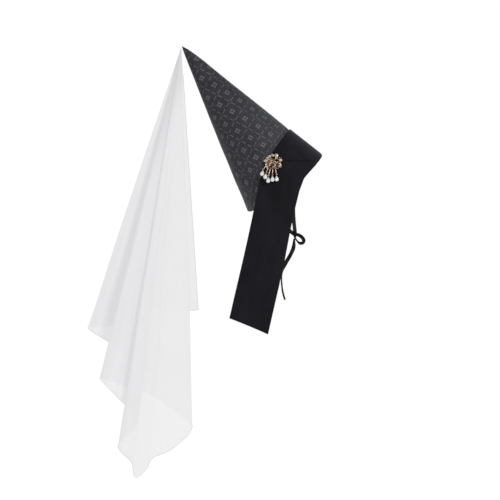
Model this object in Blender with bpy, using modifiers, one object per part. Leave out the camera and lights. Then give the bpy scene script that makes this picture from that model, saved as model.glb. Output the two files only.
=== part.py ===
"""A hennin: a tall tilted cone with a velvet frontlet, a hanging veil, ribbon ties and a brooch.

The wearer faces +X and +Z is up. The origin is the middle of the head opening.
The brooch is on the wearer's right side, at -Y. All sizes are in metres.
"""
import math

import bmesh
import bpy
from mathutils import Matrix, Vector

# Driving sizes of the cone
RIM_RADIUS = 0.092
CONE_LENGTH = 0.342
CONE_TILT = math.radians(36.8)
CONE_WALL = 0.002
CONE_SIDES = 48
TIP_RADIUS = 0.0012

# The space that neighbouring pieces keep
GAP = 0.0003

# Driving sizes of the frontlet: the band over the cone and its two lappets
BAND_WIDTH = 0.082
VELVET_WALL = 0.0027
TURN_ANGLE_BACK = math.radians(95.0)
TURN_ANGLE_FRONT = math.radians(67.0)
TURN_ROUNDING = 0.012
LAPPET_LENGTH = 0.321
LAPPET_LEAN = math.radians(12.6)

# Driving sizes of the veil
VEIL_LENGTH = 0.868
VEIL_WALL = 0.0010
VEIL_FULL_WALL_AT = 0.300
VEIL_HEAD_LENGTH = 0.024
VEIL_HEAD_WIDTH = 0.0100
VEIL_HEAD_DEPTH = 0.0060
VEIL_HEAD_LEAN = math.radians(7.4)

# Driving sizes of the ribbon ties
RIBBON_WIDTH = 0.007
RIBBON_WALL = 0.0008
KNOT_WIDTH = 0.0055
KNOT_DEPTH = 0.0080
KNOT_HEIGHT = 0.0115

# Driving sizes of the brooch
PLATE_RADIUS = 0.0145
PLATE_WALL = 0.0011
ROSE_RADIUS = 0.0066
PETAL_WALL = 0.0011
STONE_RADIUS = 0.0034
STONE_HEIGHT = 0.0030
LEAF_LENGTH = 0.0070
BUD_LENGTH = 0.0110
PRONG_WIRE = 0.0007
RING_RADIUS = 0.0013
RING_WIRE = 0.00035
PEARL_RADIUS = 0.0041
PEARL_LENGTH = 0.0122
PIN_RADIUS = 0.0006
PIN_SPAN = 0.0200
POST_RADIUS = 0.0009

# The cone's outer sections from the tip: place along the axis as a share of its length,
# fullness beyond the straight cone and forward lift as shares of the rim's radius
CONE_SECTIONS = (
    # along, full, lift
    (0.000, 0.000, 0.000),
    (0.012, 0.003, 0.001),
    (0.040, 0.008, 0.006),
    (0.080, 0.012, 0.011),
    (0.150, 0.015, 0.013),
    (0.240, 0.012, 0.007),
    (0.400, 0.010, 0.002),
    (0.600, 0.007, 0.000),
    (0.740, 0.000, 0.000),
    (1.000, 0.000, 0.000),
)

# The lappet's edges: place down its length as a share, and how far its back and front
# edges stand in from the straight, as shares of the band's width
LAPPET_EDGES = (
    # along, back, front
    (0.00, 0.000, 0.000),
    (0.12, 0.004, 0.014),
    (0.22, 0.012, 0.020),
    (0.34, 0.020, 0.014),
    (0.50, 0.022, -0.008),
    (0.68, 0.016, -0.010),
    (0.85, 0.006, -0.004),
    (1.00, 0.000, 0.000),
)
FLANK_SHARE = 0.36
FLANK_RIBS = 12
FREE_RIBS = 5
BAND_RIBS = 14
BAND_COLUMNS = 8

# The veil's folds in order along the cloth: lean back from straight down and turn to the
# side in degrees, seen from the tip, and the distance of the hem as a share of the length
VEIL_FOLDS = (
    # lean, side, hem
    (-3.65, 4.4, 0.610),
    (7.00, 5.5, 0.614),
    (14.6, 4.9, 0.620),
    (17.5, 3.7, 0.626),
    (13.9, 2.7, 0.660),
    (18.5, 1.5, 0.682),
    (13.2, 0.9, 0.704),
    (7.80, 0.8, 0.746),
    (10.2, -0.2, 0.788),
    (4.60, -0.5, 0.806),
    (0.00, -1.3, 0.850),
    (-1.70, -2.9, 0.880),
    (1.30, -4.6, 0.927),
    (3.80, -5.4, 0.958),
    (6.00, -5.6, 1.000),
    (8.90, -4.9, 0.929),
    (6.60, -3.9, 0.866),
    (10.4, -3.6, 0.820),
    (13.7, -2.7, 0.785),
    (10.3, -1.7, 0.791),
)

# Places on the ribbons, with the ribbon's broad direction at each, in millimetres: chosen
# by hand along the ribbon from its sewn end to the knot, or from the knot to its free end
STRAP_ROUTE = (
    ((6.2, -83.3, 21.6), (-0.78, -0.21, -0.59)),
    ((10.4, -84.7, 16.8), (-0.78, -0.20, -0.59)),
    ((14.0, -85.6, 11.0), (-0.85, -0.18, -0.49)),
    ((16.3, -85.3, 3.0), (-0.94, -0.15, -0.31)),
    ((17.4, -83.8, -8.0), (-0.98, -0.10, -0.15)),
    ((18.0, -80.6, -22.0), (-1.00, -0.04, -0.05)),
    ((18.7, -75.0, -38.0), (-1.00, 0.00, -0.04)),
    ((19.5, -65.0, -55.0), (-1.00, 0.04, -0.02)),
    ((20.3, -50.0, -71.0), (-1.00, 0.02, 0.00)),
    ((20.9, -32.0, -85.0), (-1.00, 0.00, 0.02)),
    ((21.2, -16.0, -94.0), (-1.00, 0.00, 0.04)),
    ((21.3, -4.0, -100.4), (-1.00, 0.00, 0.06)),
)
TAIL_NEAR_ROUTE = (
    ((19.4, -1.8, -111.2), (0.50, 0.86, 0.00)),
    ((20.2, -1.8, -117.6), (0.25, 0.97, 0.00)),
    ((20.2, -2.2, -124.0), (0.45, 0.89, 0.08)),
    ((17.8, -3.0, -132.0), (0.85, 0.40, 0.34)),
    ((14.0, -4.0, -140.0), (0.90, 0.12, 0.42)),
    ((9.2, -5.0, -149.0), (0.87, 0.05, 0.49)),
    ((4.2, -6.0, -157.5), (0.87, 0.10, 0.48)),
    ((-0.4, -6.8, -166.0), (0.82, 0.36, 0.44)),
    ((-3.8, -7.2, -174.0), (0.60, 0.76, 0.24)),
    ((-5.8, -7.4, -182.0), (0.35, 0.93, 0.08)),
    ((-6.4, -7.4, -192.0), (0.28, 0.96, 0.00)),
    ((-5.8, -7.2, -204.0), (0.25, 0.97, 0.00)),
    ((-4.2, -6.8, -216.0), (0.25, 0.97, 0.00)),
    ((-1.8, -6.2, -226.0), (0.25, 0.97, 0.00)),
    ((0.6, -5.6, -233.6), (0.25, 0.97, 0.00)),
)
TAIL_FAR_ROUTE = (
    ((19.2, 2.2, -111.2), (0.50, 0.86, 0.00)),
    ((18.4, 3.6, -118.0), (0.60, 0.80, 0.00)),
    ((17.2, 5.0, -126.4), (0.75, 0.65, 0.12)),
    ((14.6, 6.4, -135.0), (0.85, 0.42, 0.30)),
    ((10.8, 7.6, -144.0), (0.88, 0.25, 0.40)),
    ((5.4, 8.6, -153.0), (0.87, 0.20, 0.44)),
    ((-0.4, 9.4, -162.0), (0.87, 0.20, 0.44)),
    ((-6.2, 10.0, -172.0), (0.88, 0.20, 0.42)),
    ((-11.6, 10.4, -184.0), (0.92, 0.20, 0.34)),
    ((-15.8, 10.6, -197.0), (0.95, 0.22, 0.22)),
    ((-18.4, 10.6, -211.0), (0.96, 0.25, 0.10)),
    ((-19.4, 10.4, -225.0), (0.97, 0.25, 0.02)),
)

# The bow's loops seen from the side, as places from the knot in shares of the loop's
# length: forward, to the far side, up, and the share by which the ribbon flares outwards
LOOP_LENGTH = 0.0190
FRONT_LOOP = (
    # forward, far, up, flare
    (0.02, 0.02, 0.10, 0.50),
    (0.40, -0.04, 0.02, 0.70),
    (0.78, -0.08, -0.22, 0.70),
    (1.00, -0.02, -0.52, 0.70),
    (0.86, 0.08, -0.80, 0.70),
    (0.54, 0.12, -0.80, 0.70),
    (0.26, 0.10, -0.56, 0.60),
    (0.02, 0.04, -0.22, 0.50),
)
BACK_LOOP = (
    (0.00, -0.06, 0.12, 0.10),
    (-0.30, -0.24, 0.34, 0.35),
    (-0.62, -0.26, 0.58, 0.45),
    (-0.88, -0.02, 0.74, 0.45),
    (-0.70, 0.24, 0.60, 0.45),
    (-0.36, 0.24, 0.32, 0.35),
    (0.00, 0.08, 0.06, 0.10),
)
KNOT_PLACE = Vector((0.0210, 0.0, -0.1050))

# The brooch's middle on the frontlet: forward of and above the origin
BROOCH_PLACE_X = -0.0234
BROOCH_PLACE_Z = 0.0410

# The brooch's parts: places across and up from its middle in shares of the plate's
# radius, sizes as shares of the named size of their kind
ROSES = (
    # across, up, raise, radius, stone, turn in degrees
    (-0.02, -0.53, 1.00, 1.00, 1.00, 36.0),
    (-0.56, -0.05, 0.55, 0.98, 0.66, 40.0),
    (0.66, -0.49, 0.55, 0.98, 0.66, 65.0),
)
LEAVES = (
    # across, up, length, turn in degrees from straight across
    (-0.06, 0.90, 1.00, 150.0),
    (-0.44, 0.73, 0.90, 125.0),
    (-0.73, 0.52, 0.80, 140.0),
    (-1.08, 0.11, 0.85, 200.0),
    (-0.88, -0.46, 1.05, 255.0),
    (1.08, 0.19, 0.90, 20.0),
    (1.03, -0.50, 1.30, 290.0),
    (0.60, -0.88, 1.50, 10.0),
    (-0.26, -0.88, 1.10, 265.0),
    (-0.72, -0.76, 0.90, 240.0),
)
BUD_ACROSS = 0.48
BUD_UP = 0.77
PRONGS = (
    # root across, root up, tip across, tip up, lean of the drop in degrees
    (-0.86, -0.40, -1.25, -1.09, 14.0),
    (-0.66, -0.65, -0.81, -1.55, 13.0),
    (-0.34, -0.83, -0.54, -2.06, 2.0),
    (-0.05, -0.87, 0.02, -1.89, 0.0),
    (0.43, -0.83, 0.57, -1.85, -3.0),
)
PIERCINGS = (
    # across, up, radius as a share of the rose's
    (0.00, 0.30, 0.30),
    (0.38, 0.26, 0.26),
    (-0.36, -0.62, 0.22),
    (0.34, -0.66, 0.22),
    (-0.30, 0.56, 0.24),
    (0.80, 0.26, 0.26),
    (0.10, 0.62, 0.20),
)
# A pearl drop's outline: distance below its cap as a share of its length, and radius as a
# share of the pearl's
PEARL_OUTLINE = (
    # below, radius
    (0.00, 0.12),
    (0.12, 0.27),
    (0.28, 0.55),
    (0.45, 0.84),
    (0.62, 1.00),
    (0.78, 0.96),
    (0.91, 0.68),
    (0.98, 0.32),
)

# Sizes and places that follow from those above
PLATE_BACK = 2 * PIN_RADIUS + GAP
PLATE_FACE = PLATE_BACK + PLATE_WALL
DROP_OUT = PEARL_RADIUS + 3 * GAP
HALF_ANGLE = math.atan2(RIM_RADIUS, CONE_LENGTH)
SLANT = math.hypot(RIM_RADIUS, CONE_LENGTH)
TO_WORN = Matrix.Rotation(-CONE_TILT, 4, "Y")
TIP = TO_WORN @ Vector((0.0, 0.0, CONE_LENGTH))
FORWARD = Vector((1.0, 0.0, 0.0))
FAR = Vector((0.0, 1.0, 0.0))
UP = Vector((0.0, 0.0, 1.0))


def clear_scene():
    for item in list(bpy.data.objects):
        bpy.data.objects.remove(item, do_unlink=True)


def make_collection(name):
    group = bpy.data.collections.new(name)
    bpy.context.scene.collection.children.link(group)
    return group


def make_material(name, colour, roughness, metallic=0.0):
    finish = bpy.data.materials.new(name)
    finish.use_nodes = True
    shader = finish.node_tree.nodes["Principled BSDF"]
    shader.inputs["Base Color"].default_value = (*colour, 1.0)
    shader.inputs["Roughness"].default_value = roughness
    shader.inputs["Metallic"].default_value = metallic
    return finish


def add_piece(name, mesh, group, finish=None):
    piece = bpy.data.objects.new(name, mesh)
    group.objects.link(piece)
    if finish is not None:
        mesh.materials.clear()
        mesh.materials.append(finish)
    return piece


def mesh_from(name, build, smooth_angle=math.radians(40.0)):
    """A mesh made by build, which fills a bmesh; faces under the angle are shaded smooth."""
    work = bmesh.new()
    build(work)
    bmesh.ops.recalc_face_normals(work, faces=work.faces)
    mesh = bpy.data.meshes.new(name)
    work.to_mesh(mesh)
    work.free()
    mesh.shade_smooth()
    mesh.set_sharp_from_angle(angle=smooth_angle)
    return mesh


def loft(work, rings):
    """A closed solid through rings of equally many points, capped at both ends."""
    loops = [[work.verts.new(point) for point in ring] for ring in rings]
    for ring, following in zip(loops, loops[1:]):
        for i in range(len(ring)):
            j = (i + 1) % len(ring)
            work.faces.new((ring[i], ring[j], following[j], following[i]))
    work.faces.new(reversed(loops[0]))
    work.faces.new(loops[-1])


def sheet_mesh(name, rows):
    """An open sheet through rows of equally many points, its faces turned by their order."""
    work = bmesh.new()
    grid = [[work.verts.new(point) for point in row] for row in rows]
    for row, following in zip(grid, grid[1:]):
        for i in range(len(row) - 1):
            work.faces.new((row[i], row[i + 1], following[i + 1], following[i]))
    mesh = bpy.data.meshes.new(name)
    work.to_mesh(mesh)
    work.free()
    mesh.shade_smooth()
    return mesh


def give_wall(piece, wall, offset):
    solid = piece.modifiers.new("wall", "SOLIDIFY")
    solid.thickness = wall
    solid.offset = offset
    solid.use_even_offset = True
    return solid


def hide_helper(piece):
    piece.hide_render = True
    piece.display_type = "WIRE"


def fuse(base, helpers):
    """Boolean the base with each helper group in order: (group, operation)."""
    for group, operation in helpers:
        joint = base.modifiers.new(operation.lower(), "BOOLEAN")
        joint.operand_type = "COLLECTION"
        joint.collection = group
        joint.operation = operation
        joint.solver = "EXACT"


def smooth_points(points, steps):
    """Points along a Catmull-Rom curve through the given ones, as tuples of numbers."""
    ends = [tuple(2 * a - b for a, b in zip(points[0], points[1]))]
    ends += [tuple(p) for p in points]
    ends.append(tuple(2 * a - b for a, b in zip(points[-1], points[-2])))
    found = []
    for i in range(1, len(ends) - 2):
        for k in range(steps):
            t = k / steps
            found.append(tuple(
                0.5 * (2 * b + (c - a) * t + (2 * a - 5 * b + 4 * c - d) * t * t
                       + (3 * b - a - 3 * c + d) * t ** 3)
                for a, b, c, d in zip(ends[i - 1], ends[i], ends[i + 1], ends[i + 2])))
    found.append(ends[-2])
    return found


def cone_ring(along, radius, lift):
    """A ring of the cone: its height over the rim, radius and forward lift, as worn."""
    ring = []
    for i in range(CONE_SIDES):
        angle = 2 * math.pi * i / CONE_SIDES
        place = Vector((lift + radius * math.cos(angle), radius * math.sin(angle), along))
        ring.append(TO_WORN @ place)
    return ring


def make_cone(group):
    def build(work):
        wall_across = CONE_WALL / math.cos(HALF_ANGLE)
        outer = []
        inner = []
        for along, full, lift in CONE_SECTIONS:
            height = CONE_LENGTH * (1 - along)
            radius = max(RIM_RADIUS * (along + full), TIP_RADIUS)
            outer.append((height, radius, lift * RIM_RADIUS))
            if radius > 2 * wall_across:
                inner.append((height, radius - wall_across, lift * RIM_RADIUS))
        rings = [cone_ring(*section) for section in outer]
        rings += [cone_ring(*section) for section in reversed(inner)]
        loft(work, rings)

    cloth = make_material("jacquard", (0.045, 0.046, 0.055), 0.8)
    return add_piece("cone", mesh_from("cone", build), group, cloth)


def cone_place(across, down):
    """The cone's own axes of a place in the side view: across it, and up from the rim."""
    turned = TO_WORN.inverted() @ Vector((across, 0.0, down))
    return turned.x, turned.z


def flank_depth(across, down):
    """Half the width of the cone, or of its flare below the rim, at a place seen from the side."""
    off_axis, height = cone_place(across, down)
    radius = (CONE_LENGTH - height) * math.tan(HALF_ANGLE) + GAP / math.cos(HALF_ANGLE)
    return math.sqrt(max(radius * radius - off_axis * off_axis, 0.0))


def flank_reach(place, onward):
    """How far out the cone's flank stands anywhere between a place and the next one down."""
    reach = 0.0
    steps = 8
    for k in range(steps + 1):
        spot = place + onward * k / steps
        if cone_place(spot.x, spot.z)[1] > 0.0:
            reach = max(reach, flank_depth(spot.x, spot.z))
    return reach


def band_point(share, run):
    """A place of the flat-cut band wrapped on the cone: share of its width from the back
    edge to the front edge, and run along it from the middle of the forehead."""
    ahead = SLANT - BAND_WIDTH * (1 - share)
    slant = math.hypot(ahead, run)
    angle = math.atan2(run, ahead) / math.sin(HALF_ANGLE)
    radius = slant * math.sin(HALF_ANGLE) + GAP * math.cos(HALF_ANGLE)
    height = CONE_LENGTH - slant * math.cos(HALF_ANGLE) + GAP * math.sin(HALF_ANGLE)
    return TO_WORN @ Vector((radius * math.cos(angle), -radius * math.sin(angle), height))


def turn_run(share):
    """How far along the band its turn into the lappet lies, at a share of the width."""
    back = (SLANT - BAND_WIDTH) * math.tan(TURN_ANGLE_BACK * math.sin(HALF_ANGLE))
    front = SLANT * math.tan(TURN_ANGLE_FRONT * math.sin(HALF_ANGLE))
    return back + (front - back) * share


def span_hollows(depths):
    """Cloth spans a hollow between two places that stand out: lift it to their chord."""
    lifted = list(depths)
    last = len(depths) - 1
    for i in range(1, last):
        for a in range(i):
            for b in range(i + 1, last + 1):
                chord = depths[a] + (depths[b] - depths[a]) * (i - a) / (b - a)
                lifted[i] = max(lifted[i], chord)
    return lifted


def lappet_ribs():
    """The lappet's ribs down its length: close over the cone's flank, wider where it is free."""
    alongs = [FLANK_SHARE * (k + 1) / FLANK_RIBS for k in range(FLANK_RIBS)]
    alongs += [FLANK_SHARE + (1 - FLANK_SHARE) * (k + 1) / FREE_RIBS for k in range(FREE_RIBS)]
    ribs = []
    for along in alongs:
        for above, below in zip(LAPPET_EDGES, LAPPET_EDGES[1:]):
            if along <= below[0] + 1e-9:
                t = (along - above[0]) / (below[0] - above[0])
                ribs.append(tuple(a + (b - a) * t for a, b in zip(above, below)))
                break
    return ribs


def frontlet_rows(turn_ribs=4):
    """Rows of the near half's inner face, from the middle of the forehead to the hem."""
    shares = [i / (BAND_COLUMNS - 1) for i in range(BAND_COLUMNS)]
    hang = Vector((-math.sin(LAPPET_LEAN), 0.0, -math.cos(LAPPET_LEAN)))
    rows = []
    for k in range(BAND_RIBS + 1):
        rows.append([band_point(v, (turn_run(v) - TURN_ROUNDING) * k / BAND_RIBS) for v in shares])
    corners = [band_point(v, turn_run(v)) for v in shares]
    for k in range(1, turn_ribs + 1):
        t = k / turn_ribs
        row = []
        for start, corner in zip(rows[BAND_RIBS], corners):
            end = corner + hang * TURN_ROUNDING
            place = start * (1 - t) ** 2 + corner * 2 * t * (1 - t) + end * t * t
            row.append(Vector((place.x, -flank_depth(place.x, place.z), place.z)))
        rows.append(row)
    edge = (corners[-1] - corners[0]).normalized()
    onward = hang * LAPPET_LENGTH * FLANK_SHARE / FLANK_RIBS
    for along, back, front in lappet_ribs():
        fall = TURN_ROUNDING + (LAPPET_LENGTH - TURN_ROUNDING) * along
        places = []
        depths = []
        for v, corner, above in zip(shares, corners, rows[-1]):
            inward = (back * (1 - v) - front * v) * BAND_WIDTH
            place = corner + hang * fall + edge * inward
            places.append(place)
            depths.append(max(-above.y, flank_reach(place, onward)))
        depths = span_hollows(depths)
        rows.append([Vector((p.x, -d, p.z)) for p, d in zip(places, depths)])
    return rows


def make_frontlet(group):
    rows = [list(reversed(row)) for row in frontlet_rows()]
    half = add_piece("frontlet", sheet_mesh("frontlet", rows), group)
    pair = half.modifiers.new("far side", "MIRROR")
    pair.use_axis = (False, True, False)
    pair.merge_threshold = 0.0001
    give_wall(half, VELVET_WALL, 1.0)
    half.data.materials.append(make_material("velvet", (0.012, 0.012, 0.014), 0.9))
    return half


def veil_direction(lean, side):
    lean = math.radians(lean)
    side = math.radians(side)
    return Vector((-math.sin(lean) * math.cos(side), math.sin(side),
                   -math.cos(lean) * math.cos(side)))


def veil_top():
    """Where the folds would meet: beside the cone's tip, a gap clear of it."""
    return TIP + Vector((-TIP_RADIUS - GAP, 0.0, -TIP_RADIUS))


def make_veil(group, helpers, steps=4):
    top = veil_top()
    path = smooth_points(VEIL_FOLDS, steps)
    start = VEIL_HEAD_LENGTH * 0.75
    rows = []
    for share in (0.0, 1.0, 2.0):
        row = []
        for lean, side, hem in path:
            reach = start + (VEIL_FULL_WALL_AT - start) * share
            if share == 2.0:
                reach = hem * VEIL_LENGTH
            row.append(top + veil_direction(lean, side) * reach)
        rows.append(row)
    veil = add_piece("veil", sheet_mesh("veil", rows), group)
    thin = veil.vertex_groups.new(name="wall")
    columns = len(path)
    for k in range(3):
        weight = start / VEIL_FULL_WALL_AT if k == 0 else 1.0
        thin.add(list(range(k * columns, (k + 1) * columns)), weight, "REPLACE")
    wall = give_wall(veil, VEIL_WALL, 0.0)
    wall.vertex_group = "wall"
    wall.use_even_offset = False
    head = add_piece("veil_head", mesh_from("veil_head", veil_head), helpers)
    hide_helper(head)
    fuse(veil, ((helpers, "UNION"),))
    veil.data.materials.append(make_material("chiffon", (0.85, 0.85, 0.87), 0.7))
    return veil


def veil_head(work):
    """The gathered corner of the veil, an oval bundle that widens from the tip."""
    down = Vector((-math.sin(VEIL_HEAD_LEAN), 0.0, -math.cos(VEIL_HEAD_LEAN)))
    ahead = Vector((math.cos(VEIL_HEAD_LEAN), 0.0, -math.sin(VEIL_HEAD_LEAN)))
    rings = []
    for along, size in ((0.0, 0.20), (0.10, 0.30), (0.60, 0.76), (1.0, 1.0)):
        middle = veil_top() + down * VEIL_HEAD_LENGTH * along
        ring = []
        for i in range(12):
            angle = 2 * math.pi * i / 12
            ring.append(middle + ahead * VEIL_HEAD_WIDTH / 2 * size * math.cos(angle)
                        + FAR * VEIL_HEAD_DEPTH / 2 * size * math.sin(angle))
        rings.append(ring)
    loft(work, rings)


def ribbon_rows(route):
    """Edge pairs of a flat ribbon along a smooth curve through the route's places."""
    joined = [tuple(v * 0.001 for v in place) + tuple(broad) for place, broad in route]
    rows = []
    for values in smooth_points(joined, 2):
        middle = Vector(values[:3])
        across = Vector(values[3:]).normalized() * RIBBON_WIDTH / 2
        rows.append([middle - across, middle + across])
    return rows


def mirrored(route):
    return tuple(((x, -y, z), (a, -b, c)) for (x, y, z), (a, b, c) in route)


def make_ribbon(name, route, group, finish):
    ribbon = add_piece(name, sheet_mesh(name, ribbon_rows(route)), group, finish)
    give_wall(ribbon, RIBBON_WALL, 0.0)
    return ribbon


def loop_rows(points):
    """Edge pairs of a bow's loop: its ribbon stands square to the loop, and flares outwards."""
    places = [KNOT_PLACE + Vector(p[:3]) * LOOP_LENGTH for p in points]
    middle = sum(places, Vector()) / len(places)
    square = Vector()
    for place, following in zip(places, places[1:]):
        square += (place - middle).cross(following - middle)
    square.normalize()
    rows = []
    for i, place in enumerate(places):
        run = places[min(i + 1, len(places) - 1)] - places[max(i - 1, 0)]
        outward = run.cross(square).normalized()
        if outward.dot(place - middle) < 0:
            outward = -outward
        flare = points[i][3]
        across = square * math.sqrt(1 - flare * flare) + outward * flare
        rows.append([place - across * RIBBON_WIDTH / 2, place + across * RIBBON_WIDTH / 2])
    return rows


def make_bow(group, helpers, finish):
    def knot(work):
        rings = []
        for up, size in ((-0.5, 0.55), (-0.3, 0.95), (0.0, 1.0), (0.3, 0.95), (0.5, 0.55)):
            middle = KNOT_PLACE + UP * KNOT_HEIGHT * up
            ring = []
            for i in range(10):
                angle = 2 * math.pi * i / 10
                ring.append(middle + FORWARD * KNOT_WIDTH / 2 * size * math.cos(angle)
                            + FAR * KNOT_DEPTH / 2 * size * math.sin(angle))
            rings.append(ring)
        loft(work, rings)

    bow = add_piece("tie_bow", mesh_from("tie_bow", knot), group, finish)
    for name, points in (("front_loop", FRONT_LOOP), ("back_loop", BACK_LOOP)):
        loop = add_piece(name, sheet_mesh(name, loop_rows(points)), helpers)
        give_wall(loop, RIBBON_WALL, 0.0)
        hide_helper(loop)
    fuse(bow, ((helpers, "UNION"),))
    return bow


def make_ties(group, helpers):
    satin = make_material("satin", (0.015, 0.015, 0.017), 0.35)
    make_ribbon("tie_near", STRAP_ROUTE, group, satin)
    make_ribbon("tie_far", mirrored(STRAP_ROUTE), group, satin)
    make_ribbon("tie_tail_near", TAIL_NEAR_ROUTE, group, satin)
    make_ribbon("tie_tail_far", TAIL_FAR_ROUTE, group, satin)
    make_bow(group, helpers, satin)


def brooch_frame():
    """The brooch's axes: across, up and out, with its back plane against the frontlet's face."""
    x, z, reach = BROOCH_PLACE_X, BROOCH_PLACE_Z, PLATE_RADIUS
    across = Vector((2 * reach, flank_depth(x - reach, z) - flank_depth(x + reach, z), 0.0))
    up = Vector((0.0, flank_depth(x, z - reach) - flank_depth(x, z + reach), 2 * reach))
    across.normalize()
    out = across.cross(up).normalized()
    face = max(p.dot(out) for row in frontlet_rows() for p in row
               if abs(p.x - x) < 1.2 * reach and -2.6 * reach < p.z - z < 1.2 * reach)
    depth = (face + VELVET_WALL - x * out.x - z * out.z) / out.y
    frame = Matrix((across, out.cross(across), out)).transposed().to_4x4()
    frame.translation = Vector((x, depth, z))
    return frame


def brooch_point(across, up, out):
    return Vector((across * PLATE_RADIUS, up * PLATE_RADIUS, out))


def ellipsoid(work, frame, sizes, across=6, along=6):
    """A closed oval body: its half sizes along the frame's own axes."""
    scale = Matrix.Diagonal((*sizes, 1.0))
    bmesh.ops.create_uvsphere(work, u_segments=across, v_segments=along, radius=1.0,
                              matrix=frame @ scale)


def leaf_frame(place, turn, tilt):
    return (Matrix.Translation(place) @ Matrix.Rotation(turn, 4, "Z")
            @ Matrix.Rotation(-tilt, 4, "Y"))


def add_helper(name, frame, group, build):
    helper = add_piece(name, mesh_from(name, build), group)
    helper.data.transform(frame)
    hide_helper(helper)
    return helper


def rose_height(raised):
    return PLATE_FACE + 0.35 * ROSE_RADIUS * raised


def make_roses(frame, group):
    for n, (across, up, raised, size, stone, turn) in enumerate(ROSES, 1):
        middle = brooch_point(across, up, rose_height(raised))
        radius = ROSE_RADIUS * size
        seat = STONE_RADIUS * stone + GAP
        for k in range(5):
            angle = math.radians(turn) + 2 * math.pi * k / 5
            outward = Vector((math.cos(angle), math.sin(angle), 0.0))
            place = middle + outward * (seat + 0.5 * (radius - seat))

            def petal(work, place=place, angle=angle):
                sizes = (0.5 * (radius - seat) + PETAL_WALL, 0.52 * radius, PETAL_WALL)
                ellipsoid(work, leaf_frame(place, angle, math.radians(24.0)), sizes)

            add_helper(f"rose_{n}_petal_{k + 1}", frame, group, petal)

        def cup(work):
            floor = PLATE_FACE - 0.5 * PLATE_WALL
            top = middle.z
            centre = Vector((middle.x, middle.y, (floor + top) / 2))
            bmesh.ops.create_cone(work, cap_ends=True, segments=10, radius1=seat + PETAL_WALL,
                                  radius2=seat + PETAL_WALL, depth=top - floor,
                                  matrix=Matrix.Translation(centre))

        add_helper(f"rose_{n}_cup", frame, group, cup)


def make_leaves(frame, group):
    for n, (across, up, length, turn) in enumerate(LEAVES, 1):
        half = 0.5 * LEAF_LENGTH * length

        def leaf(work):
            place = brooch_point(across, up, PLATE_FACE + 0.2 * PETAL_WALL)
            sizes = (half, 0.34 * LEAF_LENGTH, PETAL_WALL * 0.9)
            ellipsoid(work, leaf_frame(place, math.radians(turn), math.radians(6.0)), sizes)

        add_helper(f"leaf_{n}", frame, group, leaf)

    def bud(work):
        middle = brooch_point(BUD_ACROSS, BUD_UP, PLATE_FACE + 0.16 * BUD_LENGTH)
        for turn, shift in ((100.0, 0.0), (68.0, 0.20), (132.0, -0.20)):
            place = middle + Vector((shift * BUD_LENGTH, 0.0, 0.0))
            sizes = (0.5 * BUD_LENGTH, 0.24 * BUD_LENGTH, 0.22 * BUD_LENGTH)
            ellipsoid(work, leaf_frame(place, math.radians(turn), 0.0), sizes, across=8)

    add_helper("bud", frame, group, bud)


def ring_of(work, place, face_axis):
    """A small wire ring whose hole runs along the given axis of the brooch."""
    turn = Matrix.Translation(place)
    if face_axis == "X":
        turn = turn @ Matrix.Rotation(math.pi / 2, 4, "Y")
    sides, round_sides = 10, 5
    rings = []
    for i in range(sides):
        angle = 2 * math.pi * i / sides
        ring = []
        for j in range(round_sides):
            swing = 2 * math.pi * j / round_sides
            reach = RING_RADIUS + RING_WIRE * math.cos(swing)
            ring.append(work.verts.new(turn @ Vector((
                reach * math.cos(angle), reach * math.sin(angle), RING_WIRE * math.sin(swing)))))
        rings.append(ring)
    for i in range(sides):
        for j in range(round_sides):
            a, b = rings[i], rings[(i + 1) % sides]
            k = (j + 1) % round_sides
            work.faces.new((a[j], b[j], b[k], a[k]))


def wire_body(work, start, end, thick_start, thick_end, sides=6):
    """A tapering round wire between two places."""
    run = end - start
    turn = run.to_track_quat("Z", "Y").to_matrix().to_4x4()
    middle = Matrix.Translation((start + end) / 2) @ turn
    bmesh.ops.create_cone(work, cap_ends=True, segments=sides, radius1=thick_start,
                          radius2=thick_end, depth=run.length, matrix=middle)


def prong_ends(prong):
    root_across, root_up, tip_across, tip_up, lean = prong
    root = brooch_point(root_across, root_up, PLATE_FACE)
    tip = brooch_point(tip_across, tip_up, DROP_OUT)
    return root, tip, math.radians(lean)


def make_prongs(frame, group):
    for n, prong in enumerate(PRONGS, 1):
        root, tip, lean = prong_ends(prong)
        run = (tip - root).normalized()

        def wire(work):
            wire_body(work, root, tip - run * RING_RADIUS, 1.6 * PRONG_WIRE, PRONG_WIRE * 0.8)

        def eye(work):
            ring_of(work, tip, "Z")

        add_helper(f"prong_{n}", frame, group, wire)
        add_helper(f"prong_eye_{n}", frame, group, eye)


def make_brooch_body(frame, group, parts, cuts, finish):
    def plate(work):
        middle = Matrix.Translation((0.0, 0.0, PLATE_BACK + PLATE_WALL / 2))
        bmesh.ops.create_cone(work, cap_ends=True, segments=24, radius1=PLATE_RADIUS,
                              radius2=PLATE_RADIUS, depth=PLATE_WALL, matrix=middle)

    body = add_piece("brooch_body", mesh_from("brooch_body", plate), group, finish)
    body.data.transform(frame)
    for n, (across, up, size) in enumerate(PIERCINGS, 1):
        def piercing(work):
            middle = Matrix.Translation(brooch_point(across, up, PLATE_BACK))
            bmesh.ops.create_cone(work, cap_ends=True, segments=10, depth=8 * PLATE_WALL,
                                  radius1=size * ROSE_RADIUS, radius2=size * ROSE_RADIUS,
                                  matrix=middle)

        add_helper(f"piercing_{n}", frame, cuts, piercing)
    make_roses(frame, parts)
    make_leaves(frame, parts)
    make_prongs(frame, parts)
    for side in (-1, 1):
        def post(work):
            place = (side * (PIN_SPAN / 2 + GAP + POST_RADIUS), 0.0, (GAP + PLATE_FACE) / 2)
            bmesh.ops.create_cone(work, cap_ends=True, segments=8, radius1=POST_RADIUS,
                                  radius2=POST_RADIUS, depth=PLATE_FACE - GAP,
                                  matrix=Matrix.Translation(place))

        add_helper(f"post_{side}", frame, parts, post)
    fuse(body, ((cuts, "DIFFERENCE"), (parts, "UNION")))
    return body


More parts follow.
